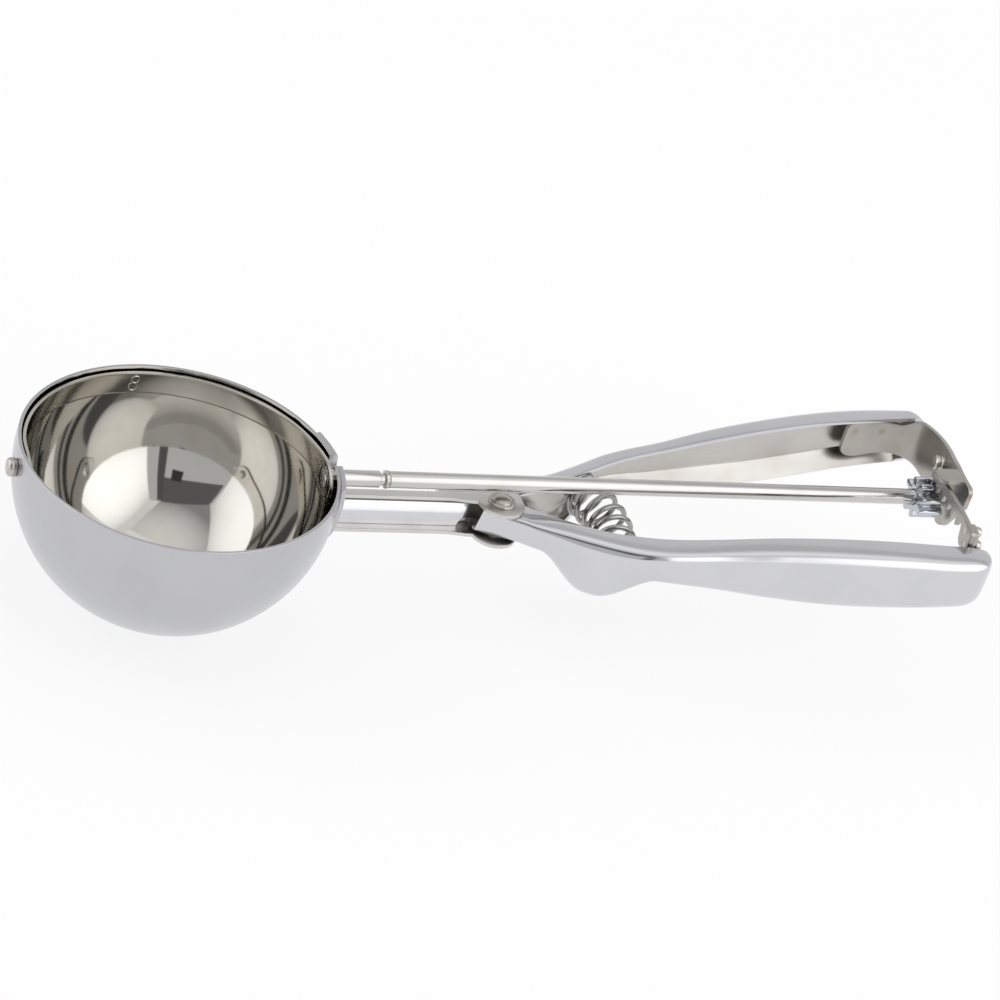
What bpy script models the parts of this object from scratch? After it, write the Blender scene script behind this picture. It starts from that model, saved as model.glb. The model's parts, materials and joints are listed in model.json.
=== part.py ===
"""Squeeze-handle portion scoop: a half-round bowl, a sweeping blade on a rod, a sprung lever with a rack.

Shapes are worked out in millimetres about the centre of the bowl, with X along the rod towards the handles,
Y towards the fixed handle and Z up out of the bowl. The finished object stands on the bottom of its bowl.
"""

import math

import bmesh
import bpy
from mathutils import Vector
from mathutils.geometry import tessellate_polygon

MM = 0.001

# Fits and stock
GAP = 0.3
DRILL = 4.0
SHEET = 0.9
STRIP_T = 1.2

# Bowl
BOWL_R = 37.0
BOWL_WALL = 0.8
RIM_Z = 4.95
SADDLE_T = 1.0
SADDLE_HALF_DEG = 18.0
SADDLE_LOW_Z = -15.5
ROD_SLOT = 4.2

# Blade
BLADE_CLEAR = 0.5
BLADE_T = 0.8
BLADE_TOP_Z = 3.8
BLADE_LOW_Z = -2.1
BLADE_TAIL_DEG = 11.0

# Rod and its fittings
ROD_R = 2.0
ROD_HEAD_T = 1.1
RING_X = 50.3
RING_W = 1.1
PIN_R = 1.3
PIN_HEAD_R = 2.15
PIN_HEAD_T = 2.0

# Lever pivot
PIVOT_X = 80.4
PIVOT_Y = -1.6
EAR_R = 6.0
RIVET_R = 1.9
RIVET_HEAD_R = 3.35
RIVET_HEAD_T = 1.0

# Pinion and rack
TEETH = 8
PITCH_R = 4.2
PINION_W = 6.8
PINION_PAST_RACK = 2.5
ADDENDUM = 1.05
RACK_R = 116.4
RACK_T = 1.2
RACK_TOP_Z = 8.0
RACK_LEAD = 2.6
RACK_TEETH = 6
RACK_SHORT = 0.9
RACK_HEEL_Z = 1.6
RACK_HEEL = 3.0

# Neck
NECK_TOP_Z = -4.4
NECK_LOW_Z = -14.0
NECK_FAR_Y = 3.3
NECK_TOP_EDGE_Y = -0.5
NECK_LOW_EDGE_Y = -1.9
NECK_CORNER = 1.8
LINER_T = 0.8
LINER_STOP = 7.4
LINER_SLANT = 2.8

# Handles
LEVER_PAST_RACK = 2.7
FIXED_PAST_RACK = 11.2
LEVER_NOSE = 5.8
FIXED_LAP = 14.4
END_ROUND = 7.0
END_SWEEP_DEG = 78.0
GUARD_AT = 21.3
GUARD_DROP = 7.9
GUARD_HALF = 12.0

# Return spring
SPRING_AT = 28.6
SPRING_Z = -11.2
SPRING_BOW_R = 45.0
SPRING_R = 6.4
WIRE_R = 0.65
TURNS = 4
WINDING_START_DEG = 135.0
POINTS_PER_TURN = 10
SEAT_BOSS_T = 2.6
SEAT_CONE_T = 1.4
SEAT_STEM_R = 3.2
SEAT_STEM = 3.8

# Bracket at the handle ends
STRIP_REACH = 20.5
STRIP_BEND = 5.5
STRIP_SET_IN = 2.6
STRIP_CORNER = 2.6
BRACKET_TOP_Z = 2.2
BRACKET_LOW_Z = -8.9
BRACKET_RISE = 2.4
BRACKET_RISE_AT = 17.0
BRACKET_BEND = 5.4
BRACKET_BEND_IN = 1.6
LEG_LAP = 5.0
LEG_LOW_Z = -3.0
LEVER_TAB_TOP_Z = 1.6
LEVER_TAB_LOW_Z = -6.5
LEVER_TAB_BEND = 8.5
LEVER_TAB_BEND_BACK = 2.4
TAB_Z = 8.9
TAB_T = 1.0
TAB_REACH = 3.6
TAB_NEAR_Y = -7.0
TAB_FAR_Y = -1.5
BRACKET_ROUND_R = 7.0
BRACKET_NEAR_Y = -10.8
STUB_Y = 8.0
STUB_Z = 4.8
STUB_R = 1.85
STUB_T = 2.6
NUB_R = 1.4
NUB_SHANK_R = 0.8
NUB_T = 1.6

# Places that follow from the sizes above
TOOTH_ROOM = 0.2
ROOT_R = PITCH_R - ADDENDUM - TOOTH_ROOM
TIP_R = PITCH_R + ADDENDUM
RACK_X = PIVOT_X + RACK_R
FIXED_END_X = RACK_X + FIXED_PAST_RACK
LEVER_END_X = RACK_X + LEVER_PAST_RACK
BLADE_R = BOWL_R - BOWL_WALL - BLADE_CLEAR
ROD_HEAD_R = ROD_R + 0.9
BLADE_HUB_R = ROD_HEAD_R + 1.5
EAR_ROOM = SHEET + GAP + 0.1
FRONT_TOP_Z = NECK_TOP_Z - EAR_ROOM
FRONT_LOW_Z = NECK_LOW_Z + EAR_ROOM

# The object's origin is under the middle of its length, at the bottom of the bowl.
PIN_OUT_X = -(BOWL_R + GAP + PIN_HEAD_T)
HANDLE_TIP_X = FIXED_END_X - END_ROUND * (1.0 - math.sin(math.radians(END_SWEEP_DEG)))
FRAME = Vector(((PIN_OUT_X + HANDLE_TIP_X) / 2.0, 0.0, -BOWL_R))

ROD_ANCHOR = Vector((0.0, 0.0, 0.0))
PIVOT_ANCHOR = Vector((PIVOT_X, PIVOT_Y, 0.0))

# The bracket in plan: distance across from the rod, and distance short of the fixed handle's end.
BRACKET_PLAN = (
    (BRACKET_NEAR_Y, 5.9),
    (-6.8, 5.8),
    (-3.0, 5.5),
    (3.0, 4.6),
    (10.0, 3.2),
    (18.0, 2.0),
    (25.5, 2.6),
)
# Both handles in side view, without the finger guard: distance behind the pivot, top edge and bottom edge.
HANDLE_SIDE = (
    (-20.0, FRONT_TOP_Z, FRONT_LOW_Z),
    (4.0, FRONT_TOP_Z, FRONT_LOW_Z),
    (7.6, -5.6, -13.0),
    (20.0, -4.5, -13.0),
    (35.6, -2.9, -12.5),
    (49.6, -1.4, -13.3),
    (64.6, 1.0, -14.1),
    (79.6, 2.9, -14.0),
    (94.6, 4.1, -12.7),
    (109.6, 4.6, -10.8),
    (127.6, 5.1, -8.8),
)
# Each handle in plan: distance behind the pivot, inner edges from the rod, and depth of the channel.
GRIP_PLAN = (
    (64.6, 20.7, 7.4),
    (79.6, 23.0, 7.9),
    (94.6, 25.2, 8.1),
    (109.6, 27.1, 7.9),
    (127.6, 28.6, 6.2),
)
LEVER_PLAN = (
    (-5.8, -1.2, 6.4),
    (-0.4, -1.2, 7.7),
    (3.6, -0.6, 8.6),
    (7.6, 2.4, 7.6),
    (12.6, 6.0, 7.0),
    (18.4, 9.9, 6.9),
    (23.6, 12.8, 7.0),
    (28.9, 14.9, 7.2),
    (35.6, 16.8, 7.0),
    (41.6, 17.8, 6.8),
    (49.6, 18.6, 6.8),
) + GRIP_PLAN
FIXED_PLAN = (
    (-20.0, NECK_FAR_Y + GAP, SHEET + 1.0),
    (2.6, NECK_FAR_Y + GAP, SHEET + 1.2),
    (7.6, 3.9, 6.4),
    (12.6, 5.5, 6.6),
    (18.4, 7.7, 6.2),
    (23.6, 10.1, 5.3),
    (28.9, 12.4, 5.1),
    (35.6, 15.0, 5.7),
    (41.6, 16.8, 5.8),
    (49.6, 18.4, 5.9),
) + GRIP_PLAN


def clear_scene():
    """Empties the scene."""
    for old in list(bpy.data.objects):
        bpy.data.objects.remove(old, do_unlink=True)


def steel(name, grey, roughness):
    """A bare steel material of its own for one piece."""
    made = bpy.data.materials.new(name)
    made.use_nodes = True
    shader = made.node_tree.nodes["Principled BSDF"]
    shader.inputs["Base Color"].default_value = (grey, grey, grey * 0.985, 1.0)
    shader.inputs["Metallic"].default_value = 1.0
    shader.inputs["Roughness"].default_value = roughness
    return made


def add(name, points, faces, grey=0.62, roughness=0.25, anchor=ROD_ANCHOR, outward=True):
    """Makes a mesh object from points in millimetres, with its origin at the anchor."""
    mesh = bpy.data.meshes.new(name)
    shape = bmesh.new()
    corners = [shape.verts.new((Vector(point) - anchor) * MM) for point in points]
    for face in faces:
        shape.faces.new([corners[index] for index in face])
    if outward:
        bmesh.ops.recalc_face_normals(shape, faces=shape.faces[:])
    shape.to_mesh(mesh)
    shape.free()
    mesh.shade_smooth()
    mesh.set_sharp_from_angle(angle=math.radians(35.0))
    made = bpy.data.objects.new(name, mesh)
    made.location = (anchor - FRAME) * MM
    mesh.materials.append(steel(name + "_steel", grey, roughness))
    bpy.context.scene.collection.objects.link(made)
    return made


def between_rings(count, rings, closed=True):
    """Faces joining consecutive rings of points."""
    faces = []
    span = count if closed else count - 1
    for ring in range(rings - 1):
        for index in range(span):
            after = (index + 1) % count
            low = ring * count
            high = low + count
            faces.append((low + index, low + after, high + after, high + index))
    return faces


def loft(name, rings, **look):
    """A solid through closed rings of equal count, capped at both ends."""
    count = len(rings[0])
    points = [point for ring in rings for point in ring]
    faces = between_rings(count, len(rings))
    for ring in (0, len(rings) - 1):
        flat = [[Vector(point) for point in rings[ring]]]
        for cap in tessellate_polygon(flat):
            faces.append(tuple(ring * count + index for index in cap))
    return add(name, points, faces, **look)


def turned(name, profile, start, along, segments=24, **look):
    """A solid turned about an axis from (distance, radius) steps, flat at both ends."""
    along = Vector(along).normalized()
    side = along.orthogonal().normalized()
    other = along.cross(side)
    rings = []
    for distance, radius in profile:
        middle = Vector(start) + along * distance
        ring = []
        for step in range(segments):
            turn = 2.0 * math.pi * step / segments
            ring.append(middle + (side * math.cos(turn) + other * math.sin(turn)) * radius)
        rings.append(ring)
    return loft(name, rings, **look)


def turned_ring(name, profile, start, along, segments=24, **look):
    """A ring turned about an axis from a closed (distance, radius) outline."""
    along = Vector(along).normalized()
    side = along.orthogonal().normalized()
    other = along.cross(side)
    count = len(profile)
    points = []
    for step in range(segments):
        turn = 2.0 * math.pi * step / segments
        out = side * math.cos(turn) + other * math.sin(turn)
        for distance, radius in profile:
            points.append(Vector(start) + along * distance + out * radius)
    faces = []
    for step in range(segments):
        here = step * count
        there = ((step + 1) % segments) * count
        for index in range(count):
            after = (index + 1) % count
            faces.append((here + index, here + after, there + after, there + index))
    return add(name, points, faces, **look)


def sheet(name, grid, thickness, way, inward=True, **look):
    """A formed sheet: a grid of points facing along way, given a thickness on one side."""
    across = len(grid[0])
    points = [point for row in grid for point in row]
    faces = between_rings(across, len(grid), closed=False)
    made = add(name, points, faces, outward=False, **look)
    shape = bmesh.new()
    shape.from_mesh(made.data)
    total = Vector((0.0, 0.0, 0.0))
    for face in shape.faces:
        total += face.normal * face.calc_area()
    if total.dot(Vector(way)) < 0.0:
        bmesh.ops.reverse_faces(shape, faces=shape.faces[:])
    shape.to_mesh(made.data)
    shape.free()
    solid = made.modifiers.new("thickness", "SOLIDIFY")
    solid.thickness = thickness * MM
    solid.offset = -1.0 if inward else 1.0
    solid.use_even_offset = True
    solid.use_rim = True
    return made


def combine(target, other, operation):
    """Joins the other's shape to the target, or cuts it out, and keeps the other as a helper."""
    other.hide_render = True
    other.display_type = "WIRE"
    step = target.modifiers.new(other.name, "BOOLEAN")
    step.operation = operation
    step.solver = "EXACT"
    step.object = other


def cut(target, cutter):
    """Takes the cutter's shape out of the target."""
    combine(target, cutter, "DIFFERENCE")


def bore(target, name, radius, start, along, length):
    """Drills a round hole from a start point."""
    profile = ((0.0, radius), (length, radius))
    cut(target, turned(target.name + "_" + name, profile, start, along, segments=20))


def box(name, low, high):
    """A square block between two corners."""
    xs, ys, zs = zip(low, high)
    points = [(x, y, z) for x in xs for y in ys for z in zs]
    faces = [(0, 1, 3, 2), (4, 5, 7, 6), (0, 1, 5, 4), (2, 3, 7, 6), (0, 2, 6, 4), (1, 3, 7, 5)]
    return add(name, points, faces)


def smooth(low, high, value):
    """Rises from 0 to 1 as the value goes from low to high."""
    step = min(max((value - low) / (high - low), 0.0), 1.0)
    return step * step * (3.0 - 2.0 * step)


def on_curve(stations, place):
    """The columns of a station list at a place, on a smooth curve through the stations."""
    last = len(stations) - 1
    place = min(max(place, stations[0][0]), stations[last][0])
    here = 0
    while here < last - 1 and place > stations[here + 1][0]:
        here += 1
    run = stations[here + 1][0] - stations[here][0]
    t = (place - stations[here][0]) / run
    found = []
    for column in range(1, len(stations[0])):
        slopes = []
        for index in (here, here + 1):
            low, high = max(index - 1, 0), min(index + 1, last)
            rise = stations[high][column] - stations[low][column]
            slopes.append(run * rise / (stations[high][0] - stations[low][0]))
        value = (2 * t ** 3 - 3 * t * t + 1) * stations[here][column] + (t ** 3 - 2 * t * t + t) * slopes[0]
        value += (3 * t * t - 2 * t ** 3) * stations[here + 1][column] + (t ** 3 - t * t) * slopes[1]
        found.append(value)
    return found


def arc(middle, radius, start, end, steps=5):
    """Points of a round corner in a section, between two angles in degrees."""
    found = []
    for step in range(steps):
        turn = math.radians(start + (end - start) * step / (steps - 1))
        found.append((middle[0] + radius * math.cos(turn), middle[1] + radius * math.sin(turn)))
    return found


def bowl_shell():
    """The half-round bowl: a spherical wall, open at the rim, with holes on the blade's axis."""
    around, down = 56, 12
    points, faces = [], []
    for radius in (BOWL_R, BOWL_R - BOWL_WALL):
        top = math.asin(RIM_Z / radius)
        for ring in range(down):
            tilt = top - (top + math.pi / 2.0) * ring / down
            flat = radius * math.cos(tilt)
            for step in range(around):
                turn = 2.0 * math.pi * (step + 0.5) / around
                points.append((flat * math.cos(turn), flat * math.sin(turn), radius * math.sin(tilt)))
        points.append((0.0, 0.0, -radius))
    skin = around * down + 1
    for base in (0, skin):
        faces += [tuple(base + index for index in face) for face in between_rings(around, down)]
        low = base + around * (down - 1)
        for step in range(around):
            faces.append((low + step, low + (step + 1) % around, base + skin - 1))
    for step in range(around):
        after = (step + 1) % around
        faces.append((step, after, skin + after, skin + step))
    bowl = add("bowl", points, faces, grey=0.68, roughness=0.12)
    rod_keyhole(bowl)
    bore(bowl, "pin_hole", PIN_R + GAP, (-BOWL_R - DRILL, 0.0, 0.0), (1, 0, 0), 2.0 * DRILL)


def rod_keyhole(target):
    """The rod's round hole through a wall, with a slot up to the rim to drop the rod in by."""
    bore(target, "rod_hole", ROD_R + GAP, (BOWL_R - DRILL, 0.0, 0.0), (1, 0, 0), 2.0 * DRILL)
    half = ROD_SLOT / 2.0
    low = (BOWL_R - DRILL, -half, ROD_R / 2.0)
    high = (BOWL_R + DRILL, half, RIM_Z + ROD_R)
    cut(target, box(target.name + "_rod_slot", low, high))


def saddle():
    """The patch welded round the bowl where the neck meets it."""
    radius = BOWL_R + GAP
    top = RIM_Z - 0.25
    rows, columns = 8, 12
    grid = []
    for row in range(rows + 1):
        z = top + (SADDLE_LOW_Z - top) * row / rows
        flat = math.sqrt(radius * radius - z * z)
        half = math.radians(SADDLE_HALF_DEG) * (1.0 - 0.35 * smooth(-6.0, SADDLE_LOW_Z, z))
        line = []
        for column in range(columns + 1):
            turn = half * (2.0 * column / columns - 1.0)
            line.append((flat * math.cos(turn), flat * math.sin(turn), z))
        grid.append(line)
    patch = sheet("bowl_saddle", grid, SADDLE_T, (1, 0, 0), inward=False, grey=0.6, roughness=0.22)
    rod_keyhole(patch)


def blade():
    """The sweeping strip, bent to the bowl, with a round hub on the axis at each end."""
    rows, columns = 40, 4
    grid = []
    for row in range(rows + 1):
        turn = -BLADE_TAIL_DEG + (180.0 + 2.0 * BLADE_TAIL_DEG) * row / rows
        past = max(-turn, turn - 180.0, 0.0) / BLADE_TAIL_DEG
        hub = math.exp(-((min(abs(turn), abs(turn - 180.0)) / 9.0) ** 2))
        shrink = math.sqrt(max(1.0 - (0.93 * past) ** 2, 0.0))
        high = (BLADE_TOP_Z + (BLADE_HUB_R - BLADE_TOP_Z) * hub) * shrink
        low = (BLADE_LOW_Z - (BLADE_HUB_R + BLADE_LOW_Z) * hub) * shrink
        line = []
        for column in range(columns + 1):
            z = low + (high - low) * column / columns
            flat = math.sqrt(BLADE_R * BLADE_R - z * z)
            line.append((flat * math.cos(math.radians(turn)), flat * math.sin(math.radians(turn)), z))
        grid.append(line)
    strip = sheet("sweeper_blade", grid, BLADE_T, (0, 1, 0), grey=0.66, roughness=0.15)
    bore(strip, "rod_hole", ROD_R + GAP, (BLADE_R - DRILL, 0.0, 0.0), (1, 0, 0), 2.0 * DRILL)
    bore(strip, "pin_hole", PIN_R + GAP, (-BLADE_R - DRILL, 0.0, 0.0), (1, 0, 0), 2.0 * DRILL)


def inside_blade(head_r):
    """How far from the bowl's centre a head of this radius sits against the blade's inner face."""
    inner = BLADE_R - BLADE_T
    return math.sqrt(inner * inner - head_r * head_r) - GAP


def rod():
    """The long rod with its head inside the bowl and the groove of its retaining ring."""
    seat = inside_blade(ROD_HEAD_R)
    groove = RING_W / 2.0 + GAP
    groove_r = ROD_R - 0.6
    end = bracket_x(0.0) + STRIP_T / 2.0 + 0.9
    steps = (
        (seat - ROD_HEAD_T, ROD_HEAD_R - 0.5),
        (seat - ROD_HEAD_T + 0.4, ROD_HEAD_R),
        (seat, ROD_HEAD_R),
        (seat, ROD_R),
        (RING_X - groove - 1.0, ROD_R),
        (RING_X - groove - 0.6, groove_r),
        (RING_X + groove, groove_r),
        (RING_X + groove, ROD_R),
        (end - 0.4, ROD_R),
        (end, ROD_R - 0.4),
    )
    turned("blade_rod", steps, (0, 0, 0), (1, 0, 0), roughness=0.16)
    half = RING_W / 2.0
    low_r, high_r = groove_r + GAP, ROD_R + 0.4
    outline = ((-half, low_r), (half, low_r), (half, high_r - 0.2), (0.0, high_r), (-half, high_r - 0.2))
    turned_ring("rod_retaining_ring", outline, (RING_X, 0, 0), (1, 0, 0), roughness=0.3)


def pivot_pin():
    """The headed pin that carries the blade's free end through the bowl wall."""
    seat = inside_blade(PIN_HEAD_R)
    steps = (
        (seat - 0.9, PIN_HEAD_R - 0.3),
        (seat, PIN_HEAD_R),
        (seat, PIN_R),
        (BOWL_R + GAP, PIN_R),
        (BOWL_R + GAP, PIN_HEAD_R),
        (-PIN_OUT_X - 0.5, PIN_HEAD_R),
        (-PIN_OUT_X, PIN_HEAD_R - 0.5),
    )
    turned("blade_pivot_pin", steps, (0, 0, 0), (-1, 0, 0), segments=20, roughness=0.3)


def pinion():
    """The toothed wheel on the rod's end, with a tooth space at its top."""
    pitch = 2.0 * math.pi / TEETH
    tooth_steps = (
        (-pitch / 2.0, ROOT_R),
        (-0.8 / ROOT_R, ROOT_R + 0.05),
        (-0.5 / PITCH_R, PITCH_R),
        (-0.28 / TIP_R, TIP_R - 0.1),
        (0.0, TIP_R),
        (0.28 / TIP_R, TIP_R - 0.1),
        (0.5 / PITCH_R, PITCH_R),
        (0.8 / ROOT_R, ROOT_R + 0.05),
    )
    outline = []
    for tooth in range(TEETH):
        middle = pitch * (tooth + 0.5) + math.pi / 2.0
        outline += [(middle + turn, radius) for turn, radius in tooth_steps]
    hole = ROD_R + GAP
    end = RACK_X + PINION_PAST_RACK
    count = len(outline)
    points = []
    for x in (end - PINION_W, end):
        points += [(x, radius * math.cos(turn), radius * math.sin(turn)) for turn, radius in outline]
        points += [(x, hole * math.cos(turn), hole * math.sin(turn)) for turn, _ in outline]
    faces = []
    far = 2 * count
    for index in range(count):
        after = (index + 1) % count
        hub, hub_after = count + index, count + after
        faces.append((index, after, hub_after, hub))
        faces.append((far + index, far + after, far + hub_after, far + hub))
        faces.append((index, after, far + after, far + index))
        faces.append((hub, hub_after, far + hub_after, far + hub))
    add("pinion_gear", points, faces, grey=0.7, roughness=0.1)


def on_bowl(y, z):
    """How far along the rod a neck piece starts, clear of the saddle."""
    reach = BOWL_R + GAP + SADDLE_T + GAP
    return math.sqrt(reach * reach - y * y - z * z)


def neck_section(top_edge, low_edge):
    """The neck channel's section, open towards the lever, from its two free edges."""
    y = NECK_FAR_Y - NECK_CORNER
    high = (y, NECK_TOP_Z - NECK_CORNER)
    low = (y, NECK_LOW_Z + NECK_CORNER)
    inner = NECK_CORNER - SHEET
    outside = [(top_edge, NECK_TOP_Z)] + arc(high, NECK_CORNER, 90, 0)
    outside += arc(low, NECK_CORNER, 0, -90) + [(low_edge, NECK_LOW_Z)]
    inside = [(low_edge, NECK_LOW_Z + SHEET)] + arc(low, inner, -90, 0)
    inside += arc(high, inner, 0, 90) + [(top_edge, NECK_TOP_Z - SHEET)]
    return outside + inside


def ear_edge(x, straight):
    """The free edge of a neck flange at x: straight along the neck, round at the pivot."""
    flared = straight - 0.9 * smooth(PIVOT_X - EAR_R - 7.4, PIVOT_X - EAR_R, x)
    reach = EAR_R * EAR_R - (x - PIVOT_X) ** 2
    if reach <= 0.0:
        return flared
    return min(PIVOT_Y - math.sqrt(reach), flared)


def neck():
    """The neck channel with its two pivot ears, and the rounded liner inside it."""
    section = neck_section(NECK_TOP_EDGE_Y, NECK_LOW_EDGE_Y)
    rings = [[(on_bowl(y, z), y, z) for y, z in section]]
    stops = [PIVOT_X - EAR_R - back for back in (22.4, 7.4, 4.4, 1.4)]
    for turn in (6, 18, 34, 52, 72, 90, 108, 128, 146, 162, 167):
        stops.append(PIVOT_X - EAR_R * math.cos(math.radians(turn)))
    for x in stops:
        section = neck_section(ear_edge(x, NECK_TOP_EDGE_Y), ear_edge(x, NECK_LOW_EDGE_Y))
        rings.append([(x, y, z) for y, z in section])
    channel = loft("neck_channel", rings, grey=0.58, roughness=0.24)
    rivet_hole(channel)

    high = NECK_TOP_Z - SHEET - GAP
    low = NECK_LOW_Z + SHEET + GAP
    middle, half = (high + low) / 2.0, (high - low) / 2.0
    outer, inner = [], []
    steps = 8
    for step in range(steps + 1):
        level = 1.0 - 2.0 * step / steps
        y = -0.25 - 1.25 * (1.0 - level * level)
        outer.append((y, middle + half * level))
        inner.append((y + LINER_T, middle + (half - LINER_T) * level))
    lip = NECK_FAR_Y - NECK_CORNER
    outside = [(lip, high)] + outer + [(lip, low)]
    section = outside + [(lip, low + LINER_T)] + inner[::-1] + [(lip, high - LINER_T)]
    first = [(on_bowl(y, z), y, z) for y, z in section]
    last = []
    for y, z in section:
        back = LINER_STOP + LINER_SLANT * smooth(high, low, z)
        last.append((PIVOT_X - back, y, z))
    loft("neck_liner", [first, last], grey=0.66, roughness=0.18)


def rivet_hole(target):
    """The pivot rivet's hole, right through a piece."""
    start = (PIVOT_X, PIVOT_Y, NECK_LOW_Z - 2.0)
    bore(target, "rivet_hole", RIVET_R + GAP, start, (0, 0, 1), NECK_TOP_Z - NECK_LOW_Z + 6.0)


def pivot_rivet():
    """The headed rivet through both ears and the lever."""
    top = NECK_TOP_Z + GAP
    low = NECK_LOW_Z - GAP
    steps = (
        (low - RIVET_HEAD_T, RIVET_HEAD_R - 0.7),
        (low - RIVET_HEAD_T + 0.4, RIVET_HEAD_R),
        (low, RIVET_HEAD_R),
        (low, RIVET_R),
        (top, RIVET_R),
        (top, RIVET_HEAD_R),
        (top + RIVET_HEAD_T - 0.4, RIVET_HEAD_R),
        (top + RIVET_HEAD_T, RIVET_HEAD_R - 0.7),
    )
    start = (PIVOT_X, PIVOT_Y, 0.0)
    turned("pivot_rivet", steps, start, (0, 0, 1), segments=28, anchor=PIVOT_ANCHOR)


def handle_side(x):
    """Top and bottom of a handle at x, with the finger guard's drop."""
    behind = x - PIVOT_X
    top, bottom = on_curve(HANDLE_SIDE, behind)
    past = (behind - GUARD_AT) / GUARD_HALF
    drop = smooth(-1.0, -0.25, past) * (1.0 - smooth(0.12, 1.02, past))
    return top, bottom - GUARD_DROP * drop


def squareness(x, side):
    """How square a handle's section is: nearly a box at the pivot, rounder along the grip."""
    first, last = (4.0, 12.0) if side > 0.0 else (20.0, 50.0)
    return 5.0 - 2.0 * smooth(first, last, x - PIVOT_X)


def handle_plan(side):
    """The plan of the fixed handle or of the lever."""
    return FIXED_PLAN if side > 0.0 else LEVER_PLAN


def handle_grid(front_x, end_x, side):
    """The outer face of a handle: rows of section points from the pivot to the rounded end."""
    straight_end = end_x - END_ROUND
    curved_x = PIVOT_X + GUARD_AT + 2.0 * GUARD_HALF
    spots = []
    x = front_x
    while x < straight_end - 2.0:
        spots.append((x, 0.0))
        x += 2.7 if x < curved_x else 6.0
    sweeps, columns = 5, 14
    for step in range(sweeps + 1):
        sweep = math.radians(END_SWEEP_DEG) * step / sweeps
        spots.append((straight_end + END_ROUND * math.sin(sweep), sweep))
    grid = []
    for x, sweep in spots:
        inner, depth = on_curve(handle_plan(side), x - PIVOT_X)
        top, bottom = handle_side(x)
        power = 2.0 / squareness(x, side)
        depth *= math.cos(sweep)
        half = (top - bottom) / 2.0 * (1.0 - 0.22 * (1.0 - math.cos(sweep)))
        row = []
        for column in range(columns + 1):
            turn = math.pi / 2.0 - math.pi * column / columns
            wide, tall = abs(math.cos(turn)), math.sin(turn)
            y = inner + depth * wide ** power
            z = (top + bottom) / 2.0 + half * math.copysign(abs(tall) ** power, tall)
            row.append((x, side * y, z))
        grid.append(row)
    return grid


def handles():
    """The fixed handle and the squeeze lever, each one formed sheet."""
    grid = handle_grid(PIVOT_X - FIXED_LAP, FIXED_END_X, 1.0)
    sheet("fixed_handle", grid, SHEET, (0, 1, 0), roughness=0.14)
    grid = handle_grid(PIVOT_X - LEVER_NOSE, LEVER_END_X, -1.0)
    lever = sheet("squeeze_lever", grid, SHEET, (0, -1, 0), roughness=0.14, anchor=PIVOT_ANCHOR)
    rivet_hole(lever)


def inside_wall(x, z, side):
    """How far from the rod the inside of a handle's wall lies at x and z."""
    inner, depth = on_curve(handle_plan(side), x - PIVOT_X)
    top, bottom = handle_side(x)
    level = (z - (top + bottom) / 2.0) / ((top - bottom) / 2.0 - SHEET)
    if abs(level) >= 1.0:
        return 0.0
    power = squareness(x, side)
    return inner + (depth - SHEET) * (1.0 - abs(level) ** power) ** (1.0 / power)


def spring_point(bow, turn, radius):
    """A point of the spring: bow is the angle along its curved axis, turn the angle round it."""
    out = Vector((math.cos(bow), math.sin(bow), 0.0))
    middle = Vector((PIVOT_X + SPRING_AT - SPRING_BOW_R, 0.0, SPRING_Z)) + out * SPRING_BOW_R
    return middle + out * (radius * math.cos(turn)) + Vector((0.0, 0.0, radius * math.sin(turn)))


def spring_way(bow, side):
    """The direction out of the spring's end, along its curved axis."""
    return Vector((-math.sin(bow), math.cos(bow), 0.0)) * side


def stem_room(bow, side):
    """How long a seat's stem can be before it meets the handle's wall, for a spring that ends at bow."""
    way = spring_way(bow, side)
    across = way.cross(Vector((0.0, 0.0, 1.0)))
    start = spring_point(bow, 0.0, 0.0) + way * (3.0 * WIRE_R + GAP)
    rim = []
    for step in range(12):
        turn = math.pi * step / 6.0
        up = Vector((0.0, 0.0, math.sin(turn)))
        rim.append((across * math.cos(turn) + up) * SEAT_STEM_R)
    length = 0.0
    while length < 20.0:
        ends = [start + way * length + edge for edge in rim]
        if any(abs(end.y) > inside_wall(end.x, end.z, side) - GAP for end in ends):
            return length
        length += 0.02
    return length


def spring_end(side):
    """The bow angle at which a seat of the right stem meets the handle's wall."""
    low, high = math.radians(4.0), math.radians(40.0)
    for _ in range(24):
        middle = (low + high) / 2.0
        if stem_room(side * middle, side) > SEAT_STEM:
            low = middle
        else:
            high = middle
    return side * low


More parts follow.
